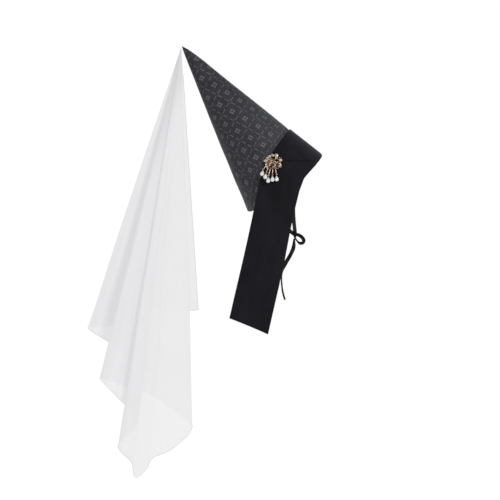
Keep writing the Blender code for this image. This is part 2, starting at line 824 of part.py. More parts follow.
def make_stones(frame, group):
    finish = make_material("smoky stone", (0.05, 0.02, 0.015), 0.1)
    for n, (across, up, raised, size, stone, turn) in enumerate(ROSES, 1):
        def cut_stone(work):
            radius = STONE_RADIUS * stone
            base = rose_height(raised) + GAP
            rings = []
            for level, share in ((0.0, 0.72), (0.45, 1.0), (0.55, 1.0), (1.0, 0.62)):
                ring = []
                for i in range(8):
                    angle = 2 * math.pi * (i + 0.5) / 8
                    place = brooch_point(across, up, base + STONE_HEIGHT * stone * level)
                    ring.append(place + Vector((math.cos(angle), math.sin(angle), 0.0))
                                * radius * share)
                rings.append(ring)
            loft(work, rings)

        mesh = mesh_from(f"brooch_stone_{n}", cut_stone, math.radians(10.0))
        mesh.transform(frame)
        add_piece(f"brooch_stone_{n}", mesh, group, finish)


def make_drops(frame, group, helpers_for):
    finish = make_material("pearl", (0.82, 0.80, 0.76), 0.3)
    for n, prong in enumerate(PRONGS, 1):
        root, tip, lean = prong_ends(prong)
        hang = 2 * RING_RADIUS - 2 * RING_WIRE - GAP
        swing = (Matrix.Translation(tip) @ Matrix.Rotation(-lean, 4, "Z"))

        def pearl(work):
            rings = []
            for below, share in PEARL_OUTLINE:
                height = -hang - RING_RADIUS - PEARL_LENGTH * below + RING_WIRE
                rings.append([Vector((PEARL_RADIUS * share * math.cos(a), height,
                                      PEARL_RADIUS * share * math.sin(a)))
                              for a in (2 * math.pi * i / 12 for i in range(12))])
            loft(work, rings)

        def ring(work):
            ring_of(work, Vector((0.0, -hang, 0.0)), "X")

        group_parts = helpers_for(f"drop_{n}_ring")
        drop = add_piece(f"brooch_drop_{n}", mesh_from(f"brooch_drop_{n}", pearl), group, finish)
        drop.data.transform(frame @ swing)
        add_helper(f"drop_{n}_ring", frame @ swing, group_parts, ring)
        fuse(drop, ((group_parts, "UNION"),))


def make_pin(frame, group, finish):
    def pin(work):
        ends = [Vector((side * PIN_SPAN / 2, 0.0, GAP + PIN_RADIUS)) for side in (-1, 1)]
        wire_body(work, ends[0], ends[1], PIN_RADIUS, PIN_RADIUS, 8)

    mesh = mesh_from("brooch_pin", pin)
    mesh.transform(frame)
    add_piece("brooch_pin", mesh, group, finish)


def main():
    clear_scene()
    hat = make_collection("hennin")
    make_cone(hat)
    make_frontlet(hat)
    make_veil(hat, make_collection("veil helpers"))
    make_ties(hat, make_collection("bow helpers"))
    gold = make_material("rose gold", (0.62, 0.40, 0.28), 0.3, 1.0)
    frame = brooch_frame()
    make_brooch_body(frame, hat, make_collection("brooch helpers"),
                     make_collection("brooch cutters"), gold)
    make_stones(frame, hat)
    make_drops(frame, hat, make_collection)
    make_pin(frame, hat, gold)


main()
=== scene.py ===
"""Dresses the hennin: patterned cone, velvet frontlet, sheer veil, satin ribbons and brooch."""
import math

import bmesh
import bpy
import numpy as np
from bpy.props import FloatProperty, FloatVectorProperty, IntProperty, PointerProperty
from mathutils import Matrix, Vector, noise


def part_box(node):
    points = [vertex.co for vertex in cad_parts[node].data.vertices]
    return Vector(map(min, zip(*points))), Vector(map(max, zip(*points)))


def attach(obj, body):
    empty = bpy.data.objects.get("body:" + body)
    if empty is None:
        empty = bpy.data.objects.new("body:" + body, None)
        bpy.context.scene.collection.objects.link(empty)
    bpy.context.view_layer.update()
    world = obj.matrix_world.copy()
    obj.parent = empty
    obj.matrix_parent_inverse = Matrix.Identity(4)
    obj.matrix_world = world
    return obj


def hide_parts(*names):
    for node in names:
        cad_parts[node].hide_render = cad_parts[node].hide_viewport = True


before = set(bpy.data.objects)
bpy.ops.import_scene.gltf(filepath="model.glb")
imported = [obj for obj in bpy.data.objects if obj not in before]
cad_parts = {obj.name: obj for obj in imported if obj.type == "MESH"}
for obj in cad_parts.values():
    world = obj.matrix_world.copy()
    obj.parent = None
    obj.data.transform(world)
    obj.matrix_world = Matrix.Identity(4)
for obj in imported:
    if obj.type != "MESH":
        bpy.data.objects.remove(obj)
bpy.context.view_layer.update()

bl_info = {
    "name": "Hennin dresser",
    "version": (1, 0, 0),
    "blender": (4, 5, 0),
    "location": "View3D > Sidebar > Hennin",
    "description": "Makes the cloth, ribbons and jewellery of a hennin cone hat",
    "category": "Object",
}

# The solids' own sizes, in metres, as the model was built with them
RIM_RADIUS = 0.092
CONE_LENGTH = 0.342
CONE_TILT = math.radians(36.8)
CONE_WALL = 0.002
TIP_RADIUS = 0.0012
GAP = 0.0003
BAND_WIDTH = 0.082
VELVET_WALL = 0.0027
TURN_ANGLE_BACK = math.radians(95.0)
TURN_ANGLE_FRONT = math.radians(67.0)
TURN_ROUNDING = 0.012
LAPPET_LENGTH = 0.321
LAPPET_LEAN = math.radians(12.6)
VEIL_LENGTH = 0.868
RIBBON_WIDTH = 0.007
LOOP_LENGTH = 0.0190
KNOT_WIDTH = 0.0055
KNOT_DEPTH = 0.0080
KNOT_HEIGHT = 0.0115
KNOT_PLACE = Vector((0.0210, 0.0, -0.1050))
PLATE_RADIUS = 0.0145
PLATE_WALL = 0.0011
ROSE_RADIUS = 0.0066
STONE_RADIUS = 0.0034
STONE_HEIGHT = 0.0030
LEAF_LENGTH = 0.0070
BUD_LENGTH = 0.0110
RING_RADIUS = 0.0013
RING_WIRE = 0.00035
PEARL_RADIUS = 0.0041
PEARL_LENGTH = 0.0122
PIN_RADIUS = 0.0006
PIN_SPAN = 0.0200

CONE_SECTIONS = (
    # along, full, lift
    (0.000, 0.000, 0.000),
    (0.012, 0.003, 0.001),
    (0.040, 0.008, 0.006),
    (0.080, 0.012, 0.011),
    (0.150, 0.015, 0.013),
    (0.240, 0.012, 0.007),
    (0.400, 0.010, 0.002),
    (0.600, 0.007, 0.000),
    (0.740, 0.000, 0.000),
    (1.000, 0.000, 0.000),
)
LAPPET_EDGES = (
    # along, back, front
    (0.00, 0.000, 0.000),
    (0.12, 0.004, 0.014),
    (0.22, 0.012, 0.020),
    (0.34, 0.020, 0.014),
    (0.50, 0.022, -0.008),
    (0.68, 0.016, -0.010),
    (0.85, 0.006, -0.004),
    (1.00, 0.000, 0.000),
)
VEIL_FOLDS = (
    # lean, side, hem
    (-3.65, 4.4, 0.610),
    (7.00, 5.5, 0.614),
    (14.6, 4.9, 0.620),
    (17.5, 3.7, 0.626),
    (13.9, 2.7, 0.660),
    (18.5, 1.5, 0.682),
    (13.2, 0.9, 0.704),
    (7.80, 0.8, 0.746),
    (10.2, -0.2, 0.788),
    (4.60, -0.5, 0.806),
    (0.00, -1.3, 0.850),
    (-1.70, -2.9, 0.880),
    (1.30, -4.6, 0.928),
    (3.90, -5.4, 0.951),
    (4.60, -5.5, 0.976),
    (6.00, -5.6, 1.000),
    (6.75, -5.5, 0.966),
    (8.90, -4.9, 0.929),
    (6.60, -3.9, 0.866),
    (10.4, -3.6, 0.820),
    (13.7, -2.7, 0.785),
    (10.3, -1.7, 0.791),
)
STRAP_ROUTE = (
    ((6.2, -83.3, 21.6), (-0.78, -0.21, -0.59)),
    ((10.4, -84.7, 16.8), (-0.78, -0.20, -0.59)),
    ((14.0, -85.6, 11.0), (-0.85, -0.18, -0.49)),
    ((16.3, -85.3, 3.0), (-0.94, -0.15, -0.31)),
    ((17.4, -83.8, -8.0), (-0.98, -0.10, -0.15)),
    ((17.2, -80.6, -22.0), (-1.00, -0.04, -0.05)),
    ((17.2, -75.0, -38.0), (-1.00, 0.00, -0.04)),
    ((17.4, -65.0, -55.0), (-1.00, 0.04, -0.02)),
    ((18.2, -50.0, -71.0), (-1.00, 0.02, 0.00)),
    ((19.6, -32.0, -85.0), (-1.00, 0.00, 0.02)),
    ((20.7, -16.0, -94.0), (-1.00, 0.00, 0.04)),
    ((21.3, -4.0, -100.4), (-1.00, 0.00, 0.06)),
)
TAIL_NEAR_ROUTE = (
    ((19.4, -1.8, -111.2), (0.50, 0.86, 0.00)),
    ((20.2, -1.8, -117.6), (0.25, 0.97, 0.00)),
    ((20.2, -2.2, -124.0), (0.45, 0.89, 0.08)),
    ((17.8, -3.0, -132.0), (0.85, 0.40, 0.34)),
    ((14.0, -4.0, -140.0), (0.90, 0.12, 0.42)),
    ((9.2, -5.0, -149.0), (0.87, 0.05, 0.49)),
    ((4.2, -6.0, -157.5), (0.87, 0.10, 0.48)),
    ((-0.4, -6.8, -166.0), (0.82, 0.36, 0.44)),
    ((-3.8, -7.2, -174.0), (0.60, 0.76, 0.24)),
    ((-5.8, -7.4, -182.0), (0.40, 0.91, 0.08)),
    ((-6.4, -7.4, -192.0), (0.36, 0.93, 0.00)),
    ((-5.8, -7.2, -204.0), (0.40, 0.91, 0.00)),
    ((-4.2, -6.8, -216.0), (0.45, 0.89, 0.00)),
    ((-1.8, -6.2, -226.0), (0.48, 0.87, 0.00)),
    ((0.6, -5.6, -233.6), (0.48, 0.87, 0.00)),
)
TAIL_FAR_ROUTE = (
    ((19.2, 2.2, -111.2), (0.50, 0.86, 0.00)),
    ((18.4, 3.6, -118.0), (0.60, 0.80, 0.00)),
    ((17.2, 5.0, -126.4), (0.75, 0.65, 0.12)),
    ((14.6, 6.4, -135.0), (0.85, 0.42, 0.30)),
    ((10.8, 7.6, -144.0), (0.88, 0.25, 0.40)),
    ((5.4, 8.6, -153.0), (0.87, 0.20, 0.44)),
    ((-0.4, 9.4, -162.0), (0.87, 0.20, 0.44)),
    ((-6.2, 10.0, -172.0), (0.88, 0.20, 0.42)),
    ((-11.6, 10.4, -184.0), (0.92, 0.20, 0.34)),
    ((-15.8, 10.6, -197.0), (0.95, 0.22, 0.22)),
    ((-18.4, 10.6, -211.0), (0.96, 0.25, 0.10)),
    ((-19.4, 10.4, -225.0), (0.97, 0.25, 0.02)),
)
FRONT_LOOP = (
    # forward, far, up, flare
    (0.02, 0.02, 0.10, 0.50),
    (0.40, -0.04, 0.04, 0.94),
    (0.75, -0.08, -0.20, 0.97),
    (0.93, -0.02, -0.52, 0.97),
    (0.80, 0.08, -0.78, 0.95),
    (0.52, 0.12, -0.80, 0.92),
    (0.26, 0.10, -0.58, 0.66),
    (0.02, 0.04, -0.22, 0.50),
)
BACK_LOOP = (
    (0.00, -0.06, 0.12, 0.10),
    (-0.30, -0.24, 0.34, 0.35),
    (-0.62, -0.26, 0.58, 0.45),
    (-0.88, -0.02, 0.74, 0.45),
    (-0.70, 0.24, 0.60, 0.45),
    (-0.36, 0.24, 0.32, 0.35),
    (0.00, 0.08, 0.06, 0.10),
)
ROSES = (
    # across, up, raise, radius, stone, turn in degrees
    (-0.02, -0.53, 1.00, 1.00, 1.00, 36.0),
    (-0.56, -0.05, 0.55, 0.98, 0.66, 40.0),
    (0.66, -0.49, 0.55, 0.98, 0.66, 65.0),
)
LEAVES = (
    # across, up, length, turn in degrees
    (-0.06, 0.90, 1.00, 150.0),
    (-0.44, 0.73, 0.90, 125.0),
    (-0.73, 0.52, 0.80, 140.0),
    (-1.08, 0.11, 0.85, 200.0),
    (-0.88, -0.46, 1.05, 255.0),
    (1.08, 0.19, 0.90, 20.0),
    (1.03, -0.50, 1.30, 290.0),
    (0.60, -0.88, 1.50, 10.0),
    (-0.26, -0.88, 1.10, 265.0),
    (-0.72, -0.76, 0.90, 240.0),
)
BUD_ACROSS = 0.48
BUD_UP = 0.77
PRONGS = (
    # root across, root up, tip across, tip up, lean of the drop in degrees
    (-0.86, -0.40, -1.25, -1.09, 14.0),
    (-0.66, -0.65, -0.81, -1.55, 13.0),
    (-0.34, -0.83, -0.54, -2.06, 2.0),
    (-0.05, -0.87, 0.02, -1.89, 0.0),
    (0.43, -0.83, 0.57, -1.85, -3.0),
)
PEARL_OUTLINE = (
    # below, radius
    (0.00, 0.12),
    (0.06, 0.17),
    (0.14, 0.30),
    (0.28, 0.55),
    (0.45, 0.84),
    (0.55, 0.95),
    (0.66, 1.00),
    (0.78, 0.94),
    (0.88, 0.76),
    (0.95, 0.50),
    (0.99, 0.20),
)

# Where the first woven square lies on the unrolled cone, and how the rows lie across it
MOTIF_START = (0.0391, 0.0067)
MOTIF_TURN = math.radians(23.2)
# The motif's lines, in shares of its pitch: where each starts, is full, fades and ends
SQUARE_LINE = (0.062, 0.080, 0.118, 0.136)
EAR_LINE = (0.082, 0.094, 0.114, 0.126)
EAR_END = (0.165, 0.180)
DASH_WIDTH = (0.014, 0.025)
DASH_LENGTH = (0.31, 0.35)

HALF_ANGLE = math.atan2(RIM_RADIUS, CONE_LENGTH)
SLANT = math.hypot(RIM_RADIUS, CONE_LENGTH)
TO_WORN = Matrix.Rotation(-CONE_TILT, 4, "Y")
FROM_WORN = TO_WORN.inverted()
HANG = Vector((-math.sin(LAPPET_LEAN), 0.0, -math.cos(LAPPET_LEAN)))
TIP = TO_WORN @ Vector((0.0, 0.0, CONE_LENGTH))
PLATE_BACK = 2 * PIN_RADIUS + GAP
PLATE_FACE = PLATE_BACK + PLATE_WALL
DROP_OUT = PEARL_RADIUS + 3 * GAP

# How far the cloth's cut edge reaches past the solids' rim, by run from the forehead
RIM_REACH = (
    # run, reach
    (0.000, -0.0032),
    (0.008, -0.0022),
    (0.017, 0.0004),
    (0.026, 0.0020),
    (0.036, 0.0028),
    (0.050, 0.0032),
    (0.070, 0.0030),
    (0.090, 0.0014),
    (0.108, 0.0000),
)
# The rim behind the ears is cut level: reach by angle from the nape, in degrees
NAPE_REACH = (
    # angle, reach
    (0.0, 0.0012),
    (10.0, 0.0022),
    (20.0, 0.0052),
    (26.0, 0.0058),
    (33.0, 0.0086),
    (42.0, 0.0080),
    (60.0, 0.0000),
)
# How the hanging lappets stand back from the solids' line, by share of their length
LAPPET_SHIFT = (
    # along, shift
    (0.00, 0.0016),
    (0.07, 0.0044),
    (0.50, 0.0042),
    (1.00, 0.0036),
)
FRONT_ROUNDING = 0.004
VELVET_BEVEL = 0.0009
# The lappet lies this far off the flank, down to just below the cone's rim
LAPPET_CLEAR = 0.0002
BELOW_RIM = -0.002
FRONTLET_COLUMNS = 37
BAND_RIBS = 70
TURN_RIBS = 10
CREASE_HEIGHT = 0.0432
CREASE_WIDTH = 0.0014
HEM_LIFT_BACK = 0.0052
HEM_LIFT_FRONT = 0.0020
# Rows down the lappet, in shares of its length: coarse above, finer by the hem
LAPPET_ROWS = (*np.arange(0.010, 0.950, 0.011), *np.arange(0.950, 1.0, 0.0025), 1.0)
HEM_STITCH_UP = 0.0085
HEM_STITCH_WIDTH = 0.0010

# The facing inside the cone's rim, and the roll of its cut edge
FACING = 0.016
ROLL_STEPS = 6
# How high the rim's own line eases into the cone
RIM_EASE = 0.040
# The cloth stands off its stiffener behind the band, and down to the rim past its ends
CLOTH_STEP = 0.014
BAND_END_STEP = 0.040
BAND_END_ANGLE = 1.45
BAND_END_SPAN = 0.35
TIP_EASE = 0.012
RIPPLE_SIZE = 0.035
SEAM_RISE = 0.0003
SEAM_FACES = 1.2

# How far below the tip the veil's gathered corner starts
VEIL_START = 0.004
# The hem starts some rows below the tip, where the three free sides part
HEM_FROM_ROW = 20
HEM_SIDES = 6

RIBBON_WALL = 0.0005
RIBBON_CUP = 0.0004
RIBBON_COLUMNS = 9

# How many faces go round a wire ring and across a thin shell, and how dark a shell's back is
RING_SIDES = 8
SHELL_FACES = 8
BACK_HOLLOW = 0.9
# The brooch's wires, beads and thin walls
BROOCH_FORWARD = -0.0234
BROOCH_UP = 0.0410
RIM_WIRE = 0.00070
CURLS = 11
CURL_WIRE = 0.00055
RIM_BEADS = 26
RIM_BEAD = 0.00052
PETALS = 5
PETAL_WALL = 0.00032
PETAL_CURL = 0.0006
PETAL_RIM_WIRE = 0.00075
PETAL_RIM_SPAN = 0.50
LEAF_WALL = 0.0004
SETTING_WIRE = 0.00036
SETTING_BEADS = 8
SETTING_BEAD = 0.00032
SCROLL_WIRE = 0.00058
SCROLL_END = 0.00072
ARM_WIRE = 0.00110
ARM_END = 0.00070
OUT = Vector((0.0, 0.0, 1.0))

GOLD, CREAM, ROSE, COPPER, PALE = range(5)
# The dark patina that is left in the brooch's hollows
ANTIQUE = (0.030, 0.011, 0.006)
# Enamels and stones, from their darker to their lighter colour
CREAM_ENAMEL = ((0.40, 0.28, 0.19), (0.82, 0.69, 0.54))
ROSE_ENAMEL = ((0.12, 0.045, 0.030), (0.40, 0.21, 0.16))
PALE_ENAMEL = ((0.34, 0.27, 0.21), (0.70, 0.62, 0.52))
SMOKY = ((0.009, 0.003, 0.002), (0.055, 0.020, 0.010))
GARNET = ((0.08, 0.016, 0.010), (0.28, 0.080, 0.050))
ROSE_SLOTS = (
    # petals, their rims
    (COPPER, CREAM),
    (ROSE, CREAM),
    (COPPER, CREAM),
)
LEAF_SLOTS = (PALE, PALE, CREAM, PALE, CREAM, CREAM, PALE, GOLD, GOLD, GOLD)
PETAL_RINGS = (
    # start in seats, reach in roses, lift
    (0.75, 0.98, 0.0014),
    (0.70, 0.74, 0.0022),
)
BUD_PETALS = (
    # turn in degrees, shift, size
    (100.0, 0.0, 1.0),
    (72.0, 0.14, 0.86),
    (128.0, -0.14, 0.86),
)
BUD_FOLDS = ((86.0, 0.11), (114.0, -0.11))
BUD_FOLD_WIRE = 0.00045
BUD_LEAVES = (250.0, 290.0)
CAP_RADIUS = 0.0015
CAP_LENGTH = 0.0022
PIN_EYE = 0.0007
PIN_EYE_WIRE = 0.0003
ARM_COLLARS = (
    # place along the arm, radius, slot
    (3, 0.00155, COPPER),
    (5, 0.00120, CREAM),
)
# Curling wires over the plate: across and up in plate radii, lift in metres
SCROLLS = (
    (PALE, ((-0.50, 0.66, 0.0010), (-0.82, 0.50, 0.0012), (-1.04, 0.26, 0.0010),
            (-1.18, 0.04, 0.0006))),
    (PALE, ((1.16, 0.02, 0.0008), (1.02, -0.24, 0.0012), (1.10, -0.52, 0.0010),
            (1.08, -0.86, 0.0006))),
    (CREAM, ((-0.92, -0.18, 0.0010), (-0.84, -0.46, 0.0013), (-0.66, -0.72, 0.0012))),
    (GOLD, ((0.10, -0.98, 0.0010), (0.42, -0.90, 0.0012), (0.78, -0.72, 0.0010),
            (0.96, -0.60, 0.0006))),
    (CREAM, ((0.20, 0.16, 0.0014), (0.46, 0.34, 0.0016), (0.78, 0.30, 0.0014),
             (1.00, 0.12, 0.0010))),
    (CREAM, ((-0.34, 0.48, 0.0014), (-0.16, 0.32, 0.0018), (0.06, 0.30, 0.0018))),
    (PALE, ((0.86, 0.56, 0.0010), (1.04, 0.50, 0.0010), (1.16, 0.44, 0.0008))),
    (CREAM, ((-0.24, 0.06, 0.0012), (-0.02, 0.14, 0.0018), (0.20, 0.00, 0.0018),
             (0.42, -0.04, 0.0012))),
)
STONE_CUT = (
    # level, share of the radius, turn in facets
    (0.0, 0.55, 0.0),
    (0.30, 0.98, 0.5),
    (0.42, 1.0, 0.5),
    (0.72, 0.84, 0.0),
    (1.0, 0.52, 0.5),
)

# Where the camera stands: the middle of the picture, and how wide the picture is there
PICTURE_X = -0.069
PICTURE_Z = -0.134
PICTURE_WIDTH = 1.0
CAMERA_AWAY = 12.0
SENSOR = 36.0
FLOOR_Z = -0.70
FLOOR_RADIUS = 3.0
LAMPS = (
    # name, place, size, share of the key's power
    ("key", (1.9, -3.3, 1.7), 1.2, 1.0),
    ("fill", (-2.6, -2.6, 0.9), 2.4, 0.10),
    ("back", (-0.6, 2.8, 1.6), 2.4, 0.34),
)


def metres(name, description, default, least=0.0):
    """A size in metres that a user can change."""
    return FloatProperty(name=name, description=description, default=default, min=least,
                         unit="LENGTH")


def tint(name, description, default):
    """A colour that a user can change."""
    return FloatVectorProperty(name=name, description=description, default=default,
                               subtype="COLOR", size=3, min=0.0, max=1.0)


class HatSizes(bpy.types.PropertyGroup):
    """Sizes of the cone's cloth and of the frontlet."""
    motif_pitch_long: metres(
        "Motif pitch along", "Distance between motifs along the cloth's rows", 0.0299, 0.01)
    motif_pitch_cross: metres(
        "Motif pitch across", "Distance between the rows of motifs", 0.0285, 0.01)
    cone_sides: IntProperty(
        name="Cone sides", description="Faces round the cone's cloth", default=144, min=24)
    cloth_ripple: metres(
        "Cloth ripple", "How far the cone's cloth stands off its stiffener", 0.0003)
    cloth_stand: metres(
        "Cloth thickness", "How far the cone's cloth stands off behind the band", 0.0013)
    velvet_ripple: metres("Velvet ripple", "How deep the lappets' soft folds are", 0.0026)


class VeilSizes(bpy.types.PropertyGroup):
    """Sizes and look of the veil."""
    columns_per_fold: IntProperty(
        name="Columns per fold", description="Mesh columns between two folds", default=16, min=4)
    rows: IntProperty(
        name="Rows", description="Mesh rows from the tip to the hem", default=200, min=40)
    wrinkle: metres("Wrinkle", "Depth of the chiffon's small creases near the hem", 0.0030)
    hem_width: metres("Hem", "Thickness of the rolled hem", 0.0012)
    density: FloatProperty(
        name="Density", description="How much light one layer of chiffon stops",
        default=0.82, min=0.0, max=1.0, subtype="FACTOR")


class Finishes(bpy.types.PropertyGroup):
    """Colours of the cloth and the jewellery."""
    cone: tint("Cone cloth", "Ground colour of the jacquard", (0.0225, 0.0225, 0.0270))
    motif: tint("Motif", "Colour of the woven motifs", (0.108, 0.110, 0.122))
    velvet: tint("Velvet", "Colour of the frontlet", (0.0053, 0.0051, 0.0072))
    satin: tint("Satin", "Colour of the ribbons", (0.0024, 0.0024, 0.003))
    chiffon: tint("Chiffon", "Colour of the veil", (0.225, 0.225, 0.208))
    # Painted light: an emission glow given to the chiffon and its hem, standing in for the light
    # they pass on.
    painted_glow: tint("Chiffon glow", "Light that the chiffon passes on from all round it",
               (0.536, 0.534, 0.566))
    gold: tint("Rose gold", "Colour of the brooch's wire and edges", (0.80, 0.56, 0.40))
    copper: tint("Copper", "Colour of the brooch's plate and collars", (0.26, 0.115, 0.075))
    pearl: tint("Pearl", "Colour of the drops", (0.60, 0.595, 0.56))


class StudioSettings(bpy.types.PropertyGroup):
    """Light and floor of the studio."""
    sky: FloatProperty(name="Sky", description="Strength of the even white light",
                       default=0.34, min=0.0)
    key: FloatProperty(name="Key", description="Power of the large lamp in front",
                       default=135.0, min=0.0, subtype="POWER")


# ---------------------------------------------------------------- node trees


def maths_pair(operation):
    """An operator's method and its reflected form, which add one Math node."""
    def plain(self, other):
        return self.maths(operation, self, other)

    def reflected(self, other):
        return self.maths(operation, other, self)

    return plain, reflected


class Wire:
    """A socket of a node tree being built, which adds Math nodes as it is reckoned with."""

    def __init__(self, nodes, socket):
        self.nodes = nodes
        self.socket = socket

    def maths(self, operation, *values):
        return self.nodes.node("ShaderNodeMath", {"operation": operation},
                               dict(enumerate(values)))

    __add__, __radd__ = maths_pair("ADD")
    __sub__, __rsub__ = maths_pair("SUBTRACT")
    __mul__, __rmul__ = maths_pair("MULTIPLY")
    __truediv__, __rtruediv__ = maths_pair("DIVIDE")

    def __abs__(self):
        return self.maths("ABSOLUTE", self)

    def least(self, other):
        return self.maths("MINIMUM", self, other)

    def most(self, other):
        return self.maths("MAXIMUM", self, other)

    def fract(self):
        return self.maths("FRACT", self)

    def bell(self):
        """1 at 0, falling smoothly to either side."""
        return 1.0 / (1.0 + self * self * self * self)

    def step(self, low, high):
        """0 under low and 1 over high, smooth between; a high under low turns it round."""
        turned = high < low
        start, end = (high, low) if turned else (low, high)
        return self.nodes.node(
            "ShaderNodeMapRange", {"interpolation_type": "SMOOTHSTEP", "clamp": True},
            {"Value": self, "From Min": start, "From Max": end,
             "To Min": float(turned), "To Max": float(not turned)})

    def between(self, rise, full, fade, end):
        """1 from full to fade and 0 outside rise and end, smooth between."""
        return self.step(rise, full) * self.step(end, fade)


class Nodes:
    """A node tree whose nodes are made by one method."""

    def __init__(self, tree):
        self.tree = tree

    def node(self, kind, settings=None, inputs=None, output=0):
        made = self.tree.nodes.new(kind)
        for name, value in (settings or {}).items():
            if name == "stops":
                self.set_stops(made.color_ramp, value)
            else:
                setattr(made, name, value)
        for key, value in (inputs or {}).items():
            if isinstance(value, Wire):
                self.tree.links.new(value.socket, made.inputs[key])
            else:
                made.inputs[key].default_value = value
        return Wire(self, made.outputs[output])

    def set_stops(self, ramp, stops):
        while len(ramp.elements) < len(stops):
            ramp.elements.new(1.0)
        for element, (place, colour) in zip(ramp.elements, stops):
            element.position = place
            element.color = (*colour, 1.0)


class Finish(Nodes):
    """A material around one Principled shader."""

    def __init__(self, name):
        self.material = bpy.data.materials.new(name)
        self.material.use_nodes = True
        super().__init__(self.material.node_tree)
        self.shader = self.tree.nodes["Principled BSDF"]

    def constants(self, **values):
        for name, value in values.items():
            self.shader.inputs[name.replace("_", " ")].default_value = value

    def feed(self, name, wire):
        self.tree.links.new(wire.socket, self.shader.inputs[name])

    def place(self):
        return self.node("ShaderNodeTexCoord", output="Object")

    def cloth(self):
        """Place on the flat cloth, which is the mesh's own UV map."""
        return self.node("ShaderNodeUVMap", {"uv_map": "cloth"})

    def split(self, vector):
        """The three parts of a vector."""
        parts = self.tree.nodes.new("ShaderNodeSeparateXYZ")
        self.tree.links.new(vector.socket, parts.inputs[0])
        return [Wire(self, output) for output in parts.outputs]

    def hollow(self):
        """How deep in a hollow the place is, from the mesh's own attribute."""
        return self.node("ShaderNodeAttribute", {"attribute_name": "hollow"}, output=2)

    def noise(self, vector, scale, detail=2.0, roughness=0.5):
        return self.node("ShaderNodeTexNoise", {"noise_dimensions": "3D"},
                         {"Vector": vector, "Scale": scale, "Detail": detail,
                          "Roughness": roughness})

    def grain(self, vector, scales, detail=2.0, roughness=0.5):
        """Noise that is drawn out: its scale differs along each axis."""
        stretched = self.node("ShaderNodeMapping", {}, {"Vector": vector, "Scale": scales})
        return self.noise(stretched, 1.0, detail, roughness)

    def mix(self, factor, first, second):
        """Between two colours, each a tuple or a wire."""
        def colour(value):
            return value if isinstance(value, Wire) else (*value, 1.0)

        return self.node("ShaderNodeMix", {"data_type": "RGBA"},
                         {0: factor, 6: colour(first), 7: colour(second)}, output=2)

    def bump(self, height, depth, strength=1.0):
        self.feed("Normal", self.node("ShaderNodeBump", {},
                                      {"Height": height, "Distance": depth,
                                       "Strength": strength}))


class Former(Nodes):
    """Geometry nodes with named inputs, which end in plain mesh of one material."""

    def __init__(self, name, **sockets):
        super().__init__(bpy.data.node_groups.new(name, "GeometryNodeTree"))
        self.tree.is_modifier = True
        sockets = {"Geometry": "Geometry", "Material": "Material", **sockets}
        for label, kind in sockets.items():
            self.tree.interface.new_socket(label, in_out="INPUT", socket_type="NodeSocket" + kind)
        self.tree.interface.new_socket("Geometry", in_out="OUTPUT",
                                       socket_type="NodeSocketGeometry")
        given = self.tree.nodes.new("NodeGroupInput")
        self.given = {label: Wire(self, given.outputs[label]) for label in sockets}

    def end(self, made):
        """Realize what was made and set its material."""
        real = self.node("GeometryNodeRealizeInstances", inputs={"Geometry": made})
        dressed = self.node("GeometryNodeSetMaterial", inputs={
            "Geometry": real, "Material": self.given["Material"]})
        result = self.tree.nodes.new("NodeGroupOutput")
        self.tree.links.new(dressed.socket, result.inputs[0])
        return self

    def form(self, piece, **values):
        """Put the piece through the nodes and keep the result as its plain mesh."""
        modifier = piece.modifiers.new(self.tree.name, "NODES")
        modifier.node_group = self.tree
        for item in self.tree.interface.items_tree:
            if item.in_out == "INPUT" and item.name in values:
                modifier[item.identifier] = values[item.name]
        return bake_modifiers(piece)


def ring_former():
    """Sets copies of a mesh round a ring, each turned with its place on it."""
    former = Former("copies round a ring", Copies="Int", Radius="Float", Start="Float")
    copies, radius, start = (former.given[name] for name in ("Copies", "Radius", "Start"))
    angle = former.node("GeometryNodeInputIndex") * (2 * math.pi) / copies + start
    place = former.node("ShaderNodeCombineXYZ", inputs={
        "X": radius * angle.maths("COSINE", angle), "Y": radius * angle.maths("SINE", angle)})
    points = former.node("GeometryNodePoints", inputs={"Count": copies, "Position": place})
    turn = former.node("ShaderNodeCombineXYZ", inputs={"Z": angle})
    return former.end(former.node("GeometryNodeInstanceOnPoints", inputs={
        "Points": points, "Instance": former.given["Geometry"], "Rotation": turn}))


def hem_former():
    """Rolls a round hem along a line of edges."""
    former = Former("rolled hem", Width="Float", Sides="Int")
    line = former.node("GeometryNodeMeshToCurve", inputs={"Mesh": former.given["Geometry"]})
    ring = former.node("GeometryNodeCurvePrimitiveCircle", inputs={
        "Resolution": former.given["Sides"], "Radius": former.given["Width"] * 0.5})
    roll = former.node("GeometryNodeCurveToMesh", inputs={
        "Curve": line, "Profile Curve": ring, "Fill Caps": True})
    return former.end(former.node("GeometryNodeSetShadeSmooth", inputs={0: roll}))


def shade(colour, share):
    """A colour made darker or lighter."""
    return tuple(min(c * share, 1.0) for c in colour)


